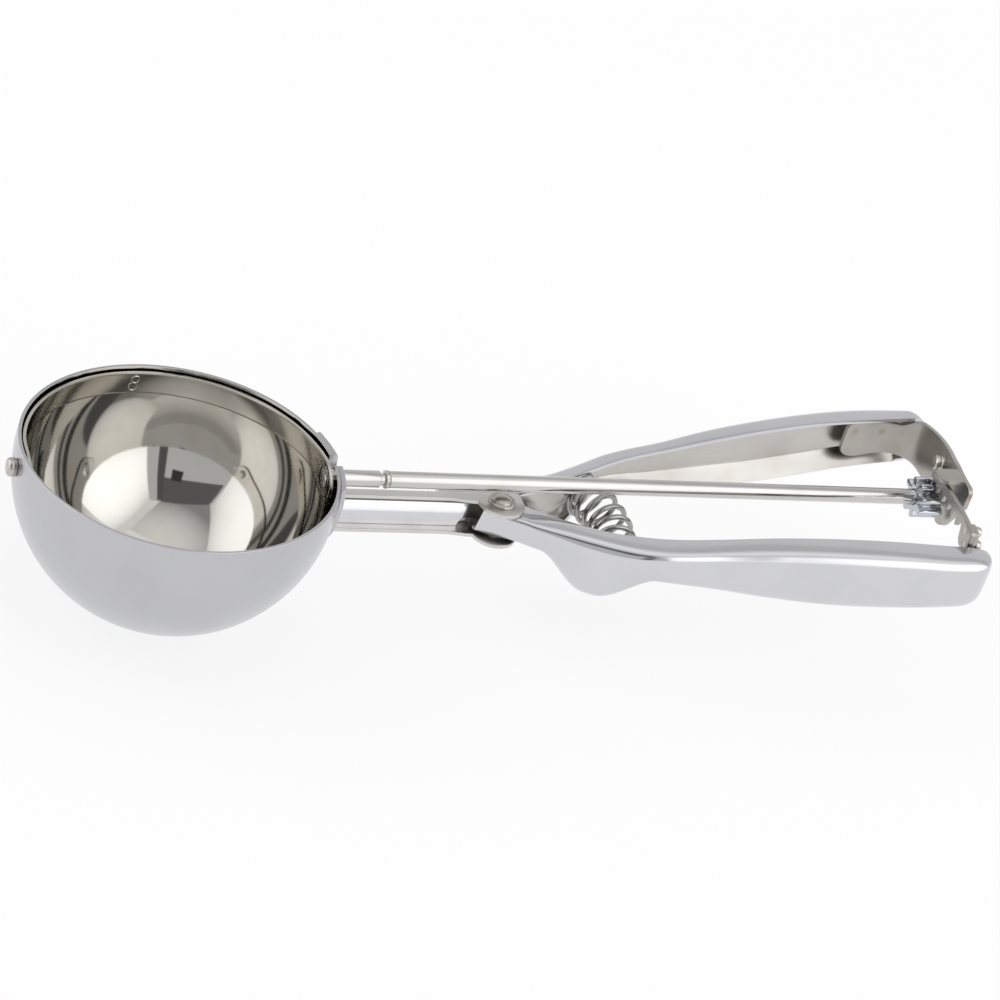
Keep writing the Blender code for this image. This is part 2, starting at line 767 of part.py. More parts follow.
def spring():
    """The return spring, wound on a slightly bowed axis between the two handles, and its two seats."""
    near, far = spring_end(-1.0), spring_end(1.0)
    points = []
    for step in range(TURNS * POINTS_PER_TURN + 1):
        share = step / (TURNS * POINTS_PER_TURN)
        turn = math.radians(WINDING_START_DEG) - 2.0 * math.pi * TURNS * share
        points.append(spring_point(near + (far - near) * share, turn, SPRING_R))
    first, last = spring_way(near, -1.0) * WIRE_R, spring_way(far, 1.0) * WIRE_R
    lead_in = [points[0] + first * 3.0, points[0] + first]
    lead_out = [points[-1] + last, points[-1] + last * 3.0]
    points = lead_in + points + lead_out
    least = 1e9
    for index in range(len(points)):
        for other in range(index + POINTS_PER_TURN // 2, len(points)):
            least = min(least, (points[index] - points[other]).length - 2.0 * WIRE_R)
    print(f"least gap of the spring to itself: {least:.2f} mm")
    wire = bpy.data.curves.new("return_spring", "CURVE")
    wire.dimensions = "3D"
    wire.bevel_depth = WIRE_R * MM
    wire.bevel_resolution = 1
    wire.use_fill_caps = True
    line = wire.splines.new("POLY")
    line.points.add(len(points) - 1)
    for spot, point in zip(line.points, points):
        spot.co = (point.x * MM, point.y * MM, point.z * MM, 1.0)
    made = bpy.data.objects.new("return_spring", wire)
    made.location = -FRAME * MM
    wire.materials.append(steel("return_spring_steel", 0.5, 0.3))
    bpy.context.scene.collection.objects.link(made)
    spring_seat("fixed_spring_seat", far, 1.0, ROD_ANCHOR)
    spring_seat("lever_spring_seat", near, -1.0, PIVOT_ANCHOR)


def spring_seat(name, bow, side, anchor):
    """The stud that holds one end of the spring: a boss inside the coil and a stem to the wall."""
    face = 3.0 * WIRE_R + GAP
    boss_r = SPRING_R * math.cos(math.pi / POINTS_PER_TURN) - WIRE_R - GAP
    steps = (
        (face - SEAT_BOSS_T, boss_r - 0.6),
        (face - SEAT_BOSS_T + 0.6, boss_r),
        (face - SEAT_CONE_T, boss_r),
        (face - GAP, SEAT_STEM_R),
        (face + stem_room(bow, side), SEAT_STEM_R),
    )
    turned(name, steps, spring_point(bow, 0.0, 0.0), spring_way(bow, side), anchor=anchor, roughness=0.3)


def strip(name, path, levels, **look):
    """A bent strip along a path in plan; levels gives its bottom and top at each path point."""
    rings = []
    for index, (x, y) in enumerate(path):
        before = path[max(index - 1, 0)]
        after = path[min(index + 1, len(path) - 1)]
        way = Vector((after[0] - before[0], after[1] - before[1], 0.0)).normalized()
        side = Vector((way.y, -way.x, 0.0)) * (STRIP_T / 2.0)
        low, high = Vector((0, 0, levels[index][0])), Vector((0, 0, levels[index][1]))
        middle = Vector((x, y, 0.0))
        rings.append([middle + side + low, middle + side + high, middle - side + high, middle - side + low])
    return loft(name, rings, **look)


def curve_through(marks, spacing):
    """Points at about equal spacing on a smooth curve through the marks."""
    found = []
    for index in range(len(marks) - 1):
        p0 = Vector(marks[max(index - 1, 0)])
        p1, p2 = Vector(marks[index]), Vector(marks[index + 1])
        p3 = Vector(marks[min(index + 2, len(marks) - 1)])
        count = max(int(round((p2 - p1).length / spacing)), 1)
        for step in range(count):
            t = step / count
            point = 0.5 * (
                2.0 * p1
                + (p2 - p0) * t
                + (2.0 * p0 - 5.0 * p1 + 4.0 * p2 - p3) * t * t
                + (3.0 * p1 - p0 - 3.0 * p2 + p3) * t ** 3
            )
            found.append((point.x, point.y))
    found.append(tuple(marks[-1]))
    return found


def web_line(x, side):
    """Where a strip lies inside a handle, against the rounded foot of its outer wall."""
    inner, depth = on_curve(handle_plan(side), x - PIVOT_X)
    return side * (inner + depth - SHEET - STRIP_T / 2.0 - STRIP_SET_IN)


def bracket_x(y):
    """Where the guide bracket stands across the handle ends."""
    return FIXED_END_X - on_curve(BRACKET_PLAN, y)[0]


def guide_bracket():
    """The strip from the fixed handle's end round to the rod, with the tab over the rack."""
    inside = [FIXED_END_X - back for back in (STRIP_REACH, STRIP_REACH - STRIP_BEND, STRIP_REACH / 2.0)]
    marks = [(x, web_line(x, 1.0)) for x in inside]
    corner_y = marks[-1][1]
    marks.append((FIXED_END_X - BRACKET_BEND, corner_y - BRACKET_BEND_IN))
    marks += [(bracket_x(y), y) for y, _ in reversed(BRACKET_PLAN)]
    path = curve_through(marks, 1.5)
    ends = 3
    levels = []
    for index, (x, y) in enumerate(path):
        top = BRACKET_TOP_Z + (TAB_Z + TAB_T - BRACKET_TOP_Z) * smooth(corner_y, TAB_FAR_Y, y)
        low = BRACKET_LOW_Z
        low += BRACKET_RISE * smooth(FIXED_END_X - BRACKET_RISE_AT, FIXED_END_X - END_ROUND, x)
        if y < 0.0:
            below = BRACKET_ROUND_R ** 2 - y * y
            low = -math.sqrt(below) if below > 0.0 else 2.0 * RACK_HEEL_Z
        nip = min(index / ends, 1.0)
        round_off = STRIP_CORNER * (1.0 - math.sqrt(1.0 - (1.0 - nip) ** 2))
        left = min((len(path) - 1 - index) / ends, 1.0)
        round_end = STRIP_T * (1.0 - math.sqrt(1.0 - (1.0 - left) ** 2))
        levels.append((low + round_off + round_end, top - round_off - round_end))
    bracket = strip("guide_bracket", path, levels, grey=0.55, roughness=0.32)
    low = (RACK_X - TAB_REACH, TAB_NEAR_Y, TAB_Z)
    high = (bracket_x(TAB_NEAR_Y), TAB_FAR_Y, TAB_Z + TAB_T)
    combine(bracket, box("guide_tab", low, high), "UNION")
    bore(bracket, "rod_hole", ROD_R + GAP, (bracket_x(0.0) - 3.0, 0, 0), (1, 0, 0), 6.0)

    lean = bracket_x(STUB_Y - 1.0) - bracket_x(STUB_Y + 1.0)
    out = Vector((-2.0, -lean, 0.0)).normalized()
    spot = Vector((bracket_x(STUB_Y), STUB_Y, STUB_Z))
    half = STRIP_T / 2.0 + GAP
    shank = STUB_R - 0.75
    steps = (
        (-half - 0.7, STUB_R - 0.5),
        (-half, STUB_R - 0.2),
        (-half, shank),
        (half, shank),
        (half, STUB_R),
        (half + 0.9, STUB_R),
        (half + 1.2, STUB_R - 0.3),
        (half + 1.5, STUB_R),
        (half + STUB_T - 0.3, STUB_R),
        (half + STUB_T, STUB_R - 0.3),
    )
    turned("bracket_rivet", steps, spot, out, segments=20, roughness=0.2)
    bore(bracket, "rivet_hole", shank + GAP, spot - out * 4.0, out, 8.0)


def on_rack(along, z, radius):
    """A point of the rack's arc about the pivot: along is measured on the arc at its middle radius."""
    turn = along / RACK_R
    return Vector((PIVOT_X + radius * math.cos(turn), PIVOT_Y + radius * math.sin(turn), z))


def rack_end():
    """How far along its arc the rack runs, to stop just short of the lever's edges."""
    turn = 0.0
    for _ in range(4):
        edge, _ = on_curve(LEVER_PLAN, RACK_R * math.cos(turn))
        turn = math.asin((RACK_SHORT - edge - PIVOT_Y) / RACK_R)
    return RACK_R * turn


def rack():
    """The toothed arc that turns the pinion, with the rivets and the tab that hold it on the lever."""
    pitch = 2.0 * math.pi * PITCH_R / TEETH
    over_rod = -PIVOT_Y
    end = rack_end()
    tip_z = PITCH_R - ADDENDUM + 0.4
    root_z = PITCH_R + ADDENDUM + 0.5
    profile = [(RACK_LEAD, root_z, RACK_TOP_Z - 0.8), (RACK_LEAD - 0.8, root_z, RACK_TOP_Z)]
    for tooth in range(RACK_TEETH):
        middle = over_rod - pitch * tooth
        for past, z in ((0.75, root_z), (0.25, tip_z), (-0.25, tip_z), (-0.75, root_z)):
            if middle + past < RACK_LEAD - 0.8:
                profile.append((middle + past, z, RACK_TOP_Z))
    heel = over_rod - pitch * (RACK_TEETH - 1) - RACK_HEEL
    profile.append((heel, root_z, RACK_TOP_Z))
    profile.append((heel - 0.6, root_z - 1.2, RACK_TOP_Z))
    profile.append((heel - 1.3, RACK_HEEL_Z + 0.9, RACK_TOP_Z))
    profile.append((heel - 2.6, RACK_HEEL_Z, RACK_TOP_Z))
    profile.append((end + 0.6, RACK_HEEL_Z, RACK_TOP_Z))
    profile.append((end, RACK_HEEL_Z + 0.6, RACK_TOP_Z - 0.6))
    inner, outer = RACK_R - RACK_T / 2.0, RACK_R + RACK_T / 2.0
    rings = []
    for along, low, high in profile:
        corners = ((inner, low), (inner, high), (outer, high), (outer, low))
        rings.append([on_rack(along, z, radius) for radius, z in corners])
    plate = loft("toothed_rack", rings, anchor=PIVOT_ANCHOR, grey=0.55, roughness=0.3)

    leg_r = outer + GAP + STRIP_T / 2.0
    path, levels = [], []
    for step in range(10):
        along = end + LEG_LAP * (1.0 - step / 5.0) + 0.1 * GAP * step
        spot = on_rack(along, 0.0, leg_r)
        path.append((spot.x, spot.y))
        beside = along > end + GAP
        levels.append((LEG_LOW_Z, RACK_TOP_Z - GAP) if beside else (LEVER_TAB_LOW_Z, LEVER_TAB_TOP_Z + GAP))
    marks = [path[-1], (path[-1][0] - LEVER_TAB_BEND_BACK, web_line(LEVER_END_X - LEVER_TAB_BEND, -1.0))]
    for x in (LEVER_END_X - STRIP_REACH + STRIP_BEND, LEVER_END_X - STRIP_REACH):
        marks.append((x, web_line(x, -1.0)))
    for x, y in curve_through(marks, 1.5)[1:]:
        path.append((x, y))
        levels.append((LEVER_TAB_LOW_Z, LEVER_TAB_TOP_Z))
    for back, nip in ((1, 2.4), (2, 0.9), (3, 0.2)):
        low, high = levels[-back]
        levels[-back] = (low + nip, high - nip)
    tab = strip("lever_rack_tab", path, levels, anchor=PIVOT_ANCHOR, grey=0.55, roughness=0.32)
    for name, past, below in (("rack_rivet_upper", 3.7, 1.6), ("rack_rivet_lower", 1.3, 3.9)):
        inside = on_rack(end + past, RACK_TOP_Z - below, RACK_R)
        out = Vector((inside.x - PIVOT_X, inside.y - PIVOT_Y, 0.0)).normalized()
        near = RACK_T / 2.0 - 0.1
        far = RACK_T / 2.0 + GAP + STRIP_T + GAP
        steps = (
            (-near, NUB_SHANK_R),
            (far, NUB_SHANK_R),
            (far, NUB_R),
            (far + NUB_T - 0.4, NUB_R),
            (far + NUB_T, NUB_R - 0.4),
        )
        turned(name, steps, inside, out, segments=16, anchor=PIVOT_ANCHOR, roughness=0.2)
        for piece in (plate, tab):
            bore(piece, name + "_hole", NUB_SHANK_R + GAP, inside - out * 4.0, out, 10.0)


def main():
    """Builds every piece of the scoop."""
    clear_scene()
    bowl_shell()
    saddle()
    blade()
    rod()
    pivot_pin()
    pinion()
    neck()
    pivot_rivet()
    handles()
    spring()
    guide_bracket()
    rack()
    print("rod axis through", [round(value, 5) for value in (ROD_ANCHOR - FRAME) * MM])
    print("lever pivot through", [round(value, 5) for value in (PIVOT_ANCHOR - FRAME) * MM])
    print("rod turn per lever turn", round(-RACK_R / PITCH_R, 4))


main()
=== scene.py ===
"""Looks of a squeeze-handle portion scoop: every piece modelled fine, dressed in steel and set on its frame.

Sizes are millimetres about the centre of the bowl, with X along the rod towards the handles, Y towards the
fixed handle and Z up out of the bowl. place() puts such a point into the frame, in metres.
"""

import json
import logging
import math
from collections.abc import Iterator, Sequence
from contextlib import contextmanager
from dataclasses import dataclass
from enum import Enum
from itertools import accumulate, pairwise
from typing import Any

import bpy
from bpy.types import Material, Node, NodeSocket, NodeTree, Object
from mathutils import Matrix, Vector


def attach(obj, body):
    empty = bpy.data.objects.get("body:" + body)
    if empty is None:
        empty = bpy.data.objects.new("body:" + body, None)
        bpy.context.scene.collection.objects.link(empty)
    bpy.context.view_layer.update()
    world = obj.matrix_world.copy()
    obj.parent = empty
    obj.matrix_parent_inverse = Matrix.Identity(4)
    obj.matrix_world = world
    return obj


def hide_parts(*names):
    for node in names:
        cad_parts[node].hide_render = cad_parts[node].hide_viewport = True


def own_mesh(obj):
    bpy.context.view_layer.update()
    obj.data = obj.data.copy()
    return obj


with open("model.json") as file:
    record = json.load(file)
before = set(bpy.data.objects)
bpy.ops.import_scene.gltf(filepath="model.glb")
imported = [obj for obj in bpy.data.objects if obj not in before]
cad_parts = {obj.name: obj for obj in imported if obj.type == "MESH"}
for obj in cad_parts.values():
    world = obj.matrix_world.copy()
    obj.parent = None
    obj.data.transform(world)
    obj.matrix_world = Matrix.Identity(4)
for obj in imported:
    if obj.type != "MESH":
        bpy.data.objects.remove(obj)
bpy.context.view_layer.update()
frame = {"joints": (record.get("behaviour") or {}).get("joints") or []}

LOG = logging.getLogger("scoop")

MM = 0.001
UM = 0.000001
JOINTS = {joint["name"]: joint for joint in frame["joints"]}
BOWL_CENTRE = Vector(JOINTS["blade_sweep"]["pos_m"])
PIVOT = (Vector(JOINTS["lever_squeeze"]["pos_m"]) - BOWL_CENTRE) / MM

# Fits and stock that several pieces share.
GAP = 0.3
SNUG = 0.04
SHEET = 0.9
STRIP_T = 1.2
ROD_R = 2.0
GEAR_TEETH = 8
# How far a drill starts before a hole and goes past it.
DRILL = 4.0
# How far the strips reach into the handles, and how far from there they bend.
STRIP_LAP = 20.5
STRIP_BEND = 5.5

Point = Sequence[float]
Grid = list[list[Point]]
Station = tuple[float, ...]


class Body(Enum):
    """The moving bodies that pieces ride on."""

    FRAME = "frame"
    LEVER = "lever"
    BLADE = "blade"


class Slot(Enum):
    """The record's material slots."""

    POLISHED = "polished_stainless"
    SATIN = "satin_stainless"
    WIRE = "spring_wire"
    GEAR = "plated_gear"
    STRIP = "bracket_strip"


class Grain(Enum):
    """The way a wheel, a die or a brush ran over a surface."""

    ALONG = "along the rod"
    UPRIGHT = "up and down"
    AROUND_BOWL = "rings about the bowl's upright axis"
    ALL_WAYS = "every way"


def smooth(low: float, high: float, value: float) -> float:
    """Eases from 0 to 1 as a value goes from low to high.

    Args:
        low: Where the rise starts.
        high: Where the rise ends.
        value: Where to read it.

    Returns:
        The share risen, from 0 to 1.
    """
    step = min(max((value - low) / (high - low), 0.0), 1.0)
    return step * step * (3.0 - 2.0 * step)


def spread(low: float, high: float, steps: int) -> list[float]:
    """Spaces values evenly from low to high, with both of them in."""
    return [low + (high - low) * step / steps for step in range(steps + 1)]


def rounded(share: float) -> float:
    """How far a round corner falls back, from 1 at the very end to 0 where the round begins."""
    return 1.0 - math.sqrt(1.0 - (1.0 - min(share, 1.0)) ** 2)


def on_curve(stations: Sequence[Station], where: float) -> list[float]:
    """Reads a station list on a smooth curve through its stations.

    Args:
        stations: Rows that start with a distance, in rising order.
        where: The distance to read at.

    Returns:
        The other columns at that distance.
    """
    last = len(stations) - 1
    where = min(max(where, stations[0][0]), stations[last][0])
    here = 0
    while here < last - 1 and where > stations[here + 1][0]:
        here += 1
    run = stations[here + 1][0] - stations[here][0]
    t = (where - stations[here][0]) / run
    found = []
    for column in range(1, len(stations[0])):
        slopes = []
        for index in (here, here + 1):
            low, high = max(index - 1, 0), min(index + 1, last)
            rise = stations[high][column] - stations[low][column]
            slopes.append(run * rise / (stations[high][0] - stations[low][0]))
        value = (2 * t**3 - 3 * t * t + 1) * stations[here][column] + (t**3 - 2 * t * t + t) * slopes[0]
        value += (3 * t * t - 2 * t**3) * stations[here + 1][column] + (t**3 - t * t) * slopes[1]
        found.append(value)
    return found


def curve_through(marks: Sequence[Station], spacing: float = 0.6) -> list[Station]:
    """Spaces points on a smooth plan curve through marks.

    Args:
        marks: The (x, y) points that the curve passes.
        spacing: About how far apart the points are.

    Returns:
        The (x, y) points, from the first mark to the last.
    """
    found = []
    for index in range(len(marks) - 1):
        p0 = Vector(marks[max(index - 1, 0)])
        p1, p2 = Vector(marks[index]), Vector(marks[index + 1])
        p3 = Vector(marks[min(index + 2, len(marks) - 1)])
        count = max(round((p2 - p1).length / spacing), 1)
        for step in range(count):
            t = step / count
            point = 2.0 * p1 + (p2 - p0) * t + (2.0 * p0 - 5.0 * p1 + 4.0 * p2 - p3) * t * t
            point += (3.0 * p1 - p0 - 3.0 * p2 + p3) * t**3
            found.append((point.x / 2.0, point.y / 2.0))
    found.append(tuple(marks[-1]))
    return found


def place(point: Point) -> Vector:
    """Puts a point about the bowl's centre, in millimetres, into the frame."""
    return BOWL_CENTRE + Vector(point) * MM


def linear(colour: str) -> tuple[float, float, float, float]:
    """Turns an sRGB hex colour to linear light.

    Args:
        colour: Six hex digits after a number sign.

    Returns:
        Red, green, blue and full alpha.
    """
    found = []
    for first in (1, 3, 5):
        share = int(colour[first : first + 2], 16) / 255.0
        found.append(share / 12.92 if share <= 0.04045 else ((share + 0.055) / 1.055) ** 2.4)
    return found[0], found[1], found[2], 1.0


def add_node(tree: NodeTree, kind: str, inputs: dict[str | int, Any], **settings: Any) -> Node:
    """Adds a node with its settings and links.

    Args:
        tree: The tree that gets the node.
        kind: The node's type name.
        inputs: A value, or a socket to link from, for each named or numbered input.
        **settings: Values for the node's own properties.

    Returns:
        The new node.
    """
    made = tree.nodes.new(kind)
    for name, value in settings.items():
        setattr(made, name, value)
    for name, value in inputs.items():
        if isinstance(value, NodeSocket):
            tree.links.new(value, made.inputs[name])
        else:
            made.inputs[name].default_value = value
    return made


@dataclass(frozen=True)
class HeatMark:
    """The straw-coloured ring that a spot weld leaves.

    Attributes:
        spot: Its middle, about the bowl's centre.
        reach: How far its tint goes.
        tint: The heated steel's colour, sRGB hex.
        strength: How strongly the tint shows in the middle.
    """

    spot: tuple[float, float, float]
    reach: float
    tint: str = "#8C6A45"
    strength: float = 0.55


@dataclass(frozen=True)
class Steel:
    """A finish of bare metal, by how its surface was made.

    Attributes:
        name: The metal and how its surface was made.
        colour: The clean metal, sRGB hex.
        film: The metal where handling or heat has dulled it, sRGB hex.
        roughness: Its middle roughness.
        swing: How far the roughness goes from streak to streak.
        grain: The way the lines of the finish run.
        line: Spacing of those lines in millimetres.
        run: Length of those lines in millimetres.
        depth: Depth of those lines in micrometres.
        patch: Size of the dull patches in millimetres.
        film_share: How strongly the film shows.
        ripple: Spacing of the forming ripples in millimetres.
        ripple_depth: Depth of the forming ripples in micrometres.
        marks: The weld marks on it.
    """

    name: str
    colour: str
    film: str
    roughness: float
    swing: float
    grain: Grain
    line: float
    run: float
    depth: float
    patch: float = 14.0
    film_share: float = 0.5
    ripple: float = 9.0
    ripple_depth: float = 0.0
    marks: tuple[HeatMark, ...] = ()

    def _lines(self, tree: NodeTree, spot: NodeSocket) -> NodeSocket:
        """Stretches the place on the piece so that noise on it draws the finish's lines.

        Args:
            tree: The material's tree.
            spot: The place in millimetres about the bowl's centre.

        Returns:
            The stretched place.
        """
        fine, long = 1.0 / self.line, 1.0 / self.run
        if self.grain is Grain.AROUND_BOWL:
            flat = add_node(tree, "ShaderNodeVectorMath", {0: spot, 1: (1.0, 1.0, 0.0)}, operation="MULTIPLY")
            out = add_node(tree, "ShaderNodeVectorMath", {0: flat.outputs[0]}, operation="LENGTH")
            split = add_node(tree, "ShaderNodeSeparateXYZ", {0: spot})
            rings = {"X": out.outputs["Value"], "Y": split.outputs["Z"]}
            spot, scale = add_node(tree, "ShaderNodeCombineXYZ", rings).outputs[0], (fine, fine, fine)
        else:
            scale = {
                Grain.ALONG: (long, fine, fine),
                Grain.UPRIGHT: (fine, fine, long),
                Grain.ALL_WAYS: (fine, fine, fine),
            }[self.grain]
        return add_node(tree, "ShaderNodeVectorMath", {0: spot, 1: scale}, operation="MULTIPLY").outputs[0]

    def _heat(self, tree: NodeTree, spot: NodeSocket, colour: NodeSocket) -> NodeSocket:
        """Tints the colour round each weld.

        Args:
            tree: The material's tree.
            spot: The place in millimetres about the bowl's centre.
            colour: The colour so far.

        Returns:
            The tinted colour.
        """
        for mark in self.marks:
            away = add_node(tree, "ShaderNodeVectorMath", {0: spot, 1: mark.spot}, operation="DISTANCE")
            off = away.outputs["Value"]
            fall = {"Value": off, "From Min": mark.reach, "From Max": 0.0, "To Max": mark.strength}
            share = add_node(tree, "ShaderNodeMapRange", fall, interpolation_type="SMOOTHSTEP")
            blend = {0: share.outputs[0], 6: colour, 7: linear(mark.tint)}
            colour = add_node(tree, "ShaderNodeMix", blend, data_type="RGBA").outputs[2]
        return colour

    def material(self) -> Material:
        """Makes the node material, once for each name.

        Returns:
            The material.
        """
        known = bpy.data.materials.get(self.name)
        if known:
            return known
        made = bpy.data.materials.new(self.name)
        made.use_nodes = True
        tree = made.node_tree
        shader = tree.nodes["Principled BSDF"]
        shader.inputs["Metallic"].default_value = 1.0

        where = add_node(tree, "ShaderNodeTexCoord", {}).outputs["Object"]
        about = {"Vector": where, "Location": -BOWL_CENTRE / MM, "Scale": (1.0 / MM,) * 3}
        spot = add_node(tree, "ShaderNodeMapping", about).outputs[0]
        noise = {"Vector": self._lines(tree, spot), "Scale": 1.0, "Detail": 3.0, "Roughness": 0.6}
        lines = add_node(tree, "ShaderNodeTexNoise", noise).outputs[0]
        noise = {"Vector": spot, "Scale": 1.0 / self.patch, "Detail": 4.0, "Roughness": 0.55}
        patches = add_node(tree, "ShaderNodeTexNoise", noise).outputs[0]

        streaks = {0: lines, 1: self.swing, 2: self.roughness - self.swing}
        streaked = add_node(tree, "ShaderNodeMath", streaks, operation="MULTIPLY_ADD").outputs[0]
        dulled = {0: patches, 1: self.swing, 2: streaked}
        rough = add_node(tree, "ShaderNodeMath", dulled, operation="MULTIPLY_ADD", use_clamp=True)
        tree.links.new(rough.outputs[0], shader.inputs["Roughness"])

        share = {"Value": patches, "From Min": 0.4, "From Max": 0.75, "To Max": self.film_share}
        film = add_node(tree, "ShaderNodeMapRange", share, interpolation_type="SMOOTHSTEP").outputs[0]
        blend = {0: film, 6: linear(self.colour), 7: linear(self.film)}
        colour = add_node(tree, "ShaderNodeMix", blend, data_type="RGBA").outputs[2]
        tree.links.new(self._heat(tree, spot, colour), shader.inputs["Base Color"])

        relief = add_node(tree, "ShaderNodeBump", {"Height": lines, "Distance": self.depth * UM})
        if self.ripple_depth:
            noise = {"Vector": spot, "Scale": 1.0 / self.ripple, "Detail": 1.0}
            ripples = add_node(tree, "ShaderNodeTexNoise", noise).outputs[0]
            formed = {"Height": ripples, "Distance": self.ripple_depth * UM, "Normal": relief.outputs[0]}
            relief = add_node(tree, "ShaderNodeBump", formed)
        tree.links.new(relief.outputs[0], shader.inputs["Normal"])
        return made


# The lines of these finishes are finer than the render can show, so they are drawn a few tenths of a
# millimetre apart.

# Buffed inside the bowl: a mirror, a little warm, with faint rings from the buffing wheel.
MIRROR = Steel(
    "stainless steel, mirror buffed", "#CAC8C3", "#BFBAB0", 0.06, 0.03, Grain.AROUND_BOWL, 0.35, 40.0, 0.25,
    ripple=10.0, ripple_depth=18.0,
)
# Fine satin outside the bowl: soft wide reflections with no sharp image.
SATIN_BOWL = Steel(
    "stainless steel, spun and satin polished", "#C0C0C3", "#B8B8BD", 0.24, 0.06, Grain.AROUND_BOWL,
    0.3, 40.0, 0.5,
)
# Bright polish on the handles: clear reflections, softened by fine lines along the grip.
BRIGHT_HANDLE = Steel(
    "stainless steel, pressed and bright polished", "#D2D2D5", "#CACACF", 0.15, 0.05, Grain.ALONG, 0.3, 14.0,
    0.35, ripple=18.0, ripple_depth=5.0,
)
# The handles' inside keeps the mill's brushed surface, browner and duller than the polished side.
MILL_INSIDE = Steel(
    "stainless steel, pressed, mill brushed", "#C6C3BF", "#B6AFA8", 0.29, 0.08, Grain.ALONG, 0.35, 16.0, 1.4,
    ripple=5.0, ripple_depth=9.0,
)
# Rolled strip for the blade, buffed with the bowl: nearly a mirror, a little warm.
BRIGHT_BLADE = Steel(
    "stainless steel, rolled and buffed", "#C5C2BC", "#B5ADA0", 0.12, 0.06, Grain.AROUND_BOWL, 0.3, 30.0, 0.5,
    ripple=10.0, ripple_depth=6.0,
)
# Drawn bar for the rod: bright, with the die's lines along it.
DRAWN_ROD = Steel(
    "stainless steel, drawn bar", "#C9C8C6", "#BAB6B0", 0.14, 0.08, Grain.ALONG, 0.25, 20.0, 0.7
)
# The pressed neck: satin with short lines along it.
SATIN_NECK = Steel(
    "stainless steel, pressed, satin", "#D3D1CE", "#C3BEB8", 0.28, 0.10, Grain.ALONG, 0.3, 10.0, 0.9,
    ripple=6.0, ripple_depth=6.0,
)
# Small turned pieces, tumbled smooth: greyer, with soft highlights and no lines.
TUMBLED = Steel(
    "stainless steel, turned and tumbled", "#C4C0BB", "#A79F95", 0.26, 0.12, Grain.ALL_WAYS, 0.5, 0.5, 1.4
)
# Hard drawn spring wire: dark between bright, narrow highlights.
WIRE = Steel("stainless spring wire, drawn", "#A6A6A5", "#7E7B78", 0.14, 0.08, Grain.ALL_WAYS, 0.4, 0.4, 0.8)
# Nickel plating on the gear: cool, bright and nearly a mirror.
NICKEL = Steel(
    "steel, bright nickel plated", "#C3C6CC", "#A9AEB6", 0.09, 0.06, Grain.ALL_WAYS, 0.6, 0.6, 0.8,
    ripple=2.5, ripple_depth=4.0,
)
# Cold rolled strip, bent and spot welded: matt, greyer, straw marks at the welds.
STRIP = Steel(
    "stainless steel strip, cold rolled", "#B1ADA8", "#918A83", 0.32, 0.12, Grain.UPRIGHT, 0.35, 9.0, 1.6,
    marks=(
        HeatMark((190.0, 31.0, -1.2), 1.9),
        HeatMark((198.0, 31.0, -0.8), 1.9),
        HeatMark((195.0, -24.0, 3.6), 1.8),
        HeatMark((201.0, -10.8, 8.1), 1.7),
    ),
)


def focus(piece: Object) -> None:
    """Selects one object alone and makes it the active one.

    Args:
        piece: The object.
    """
    bpy.ops.object.select_all(action="DESELECT")
    piece.select_set(True)
    bpy.context.view_layer.objects.active = piece


@contextmanager
def editing(piece: Object) -> Iterator[None]:
    """Opens a piece in edit mode with all of it selected, and closes it again.

    Args:
        piece: The piece to edit.
    """
    focus(piece)
    bpy.ops.object.mode_set(mode="EDIT")
    bpy.ops.mesh.select_all(action="SELECT")
    yield
    bpy.ops.object.mode_set(mode="OBJECT")


def take(name: str) -> Object:
    """Names the primitive that was just added and puts its place into its mesh.

    Args:
        name: The piece's name.

    Returns:
        The object.
    """
    made = bpy.context.object
    made.name = name
    made.data.name = name
    focus(made)
    bpy.ops.object.transform_apply(location=True, rotation=True, scale=True)
    return made


def shape(piece: Object, kind: str, **settings: Any) -> None:
    """Puts a modifier on a piece and applies it.

    Args:
        piece: The piece to change.
        kind: The modifier's type name.
        **settings: Values for the modifier's properties.
    """
    focus(piece)
    step = piece.modifiers.new(kind.lower(), kind)
    for name, value in settings.items():
        setattr(step, name, value)
    bpy.ops.object.modifier_apply(modifier=step.name)


def combine(piece: Object, other: Object, operation: str = "DIFFERENCE") -> None:
    """Cuts another shape out of a piece, or joins it on, and removes the other.

    Args:
        piece: The piece to change.
        other: The cutter or the shape to join.
        operation: The Boolean's operation.
    """
    shape(piece, "BOOLEAN", object=other, operation=operation, solver="EXACT")
    bpy.data.objects.remove(other, do_unlink=True)


def sheet(name: str, grid: Grid, way: Point) -> Object:
    """Lays a grid primitive over rows of points, facing one way.

    Args:
        name: The piece's name.
        grid: Columns of points, all of one length.
        way: The direction that the sheet faces on the whole.

    Returns:
        The sheet, one face thick.
    """
    columns, rows = len(grid) - 1, len(grid[0]) - 1
    bpy.ops.object.select_all(action="DESELECT")
    bpy.ops.mesh.primitive_grid_add(x_subdivisions=columns, y_subdivisions=rows, size=1.0)
    made = take(name)
    for corner in made.data.vertices:
        column, row = round((corner.co.x + 0.5) * columns), round((corner.co.y + 0.5) * rows)
        corner.co = place(grid[column][row])
    made.data.update()
    total = sum((face.normal * face.area for face in made.data.polygons), Vector())
    if total.dot(Vector(way)) < 0.0:
        with editing(made):
            bpy.ops.mesh.flip_normals()
    return made


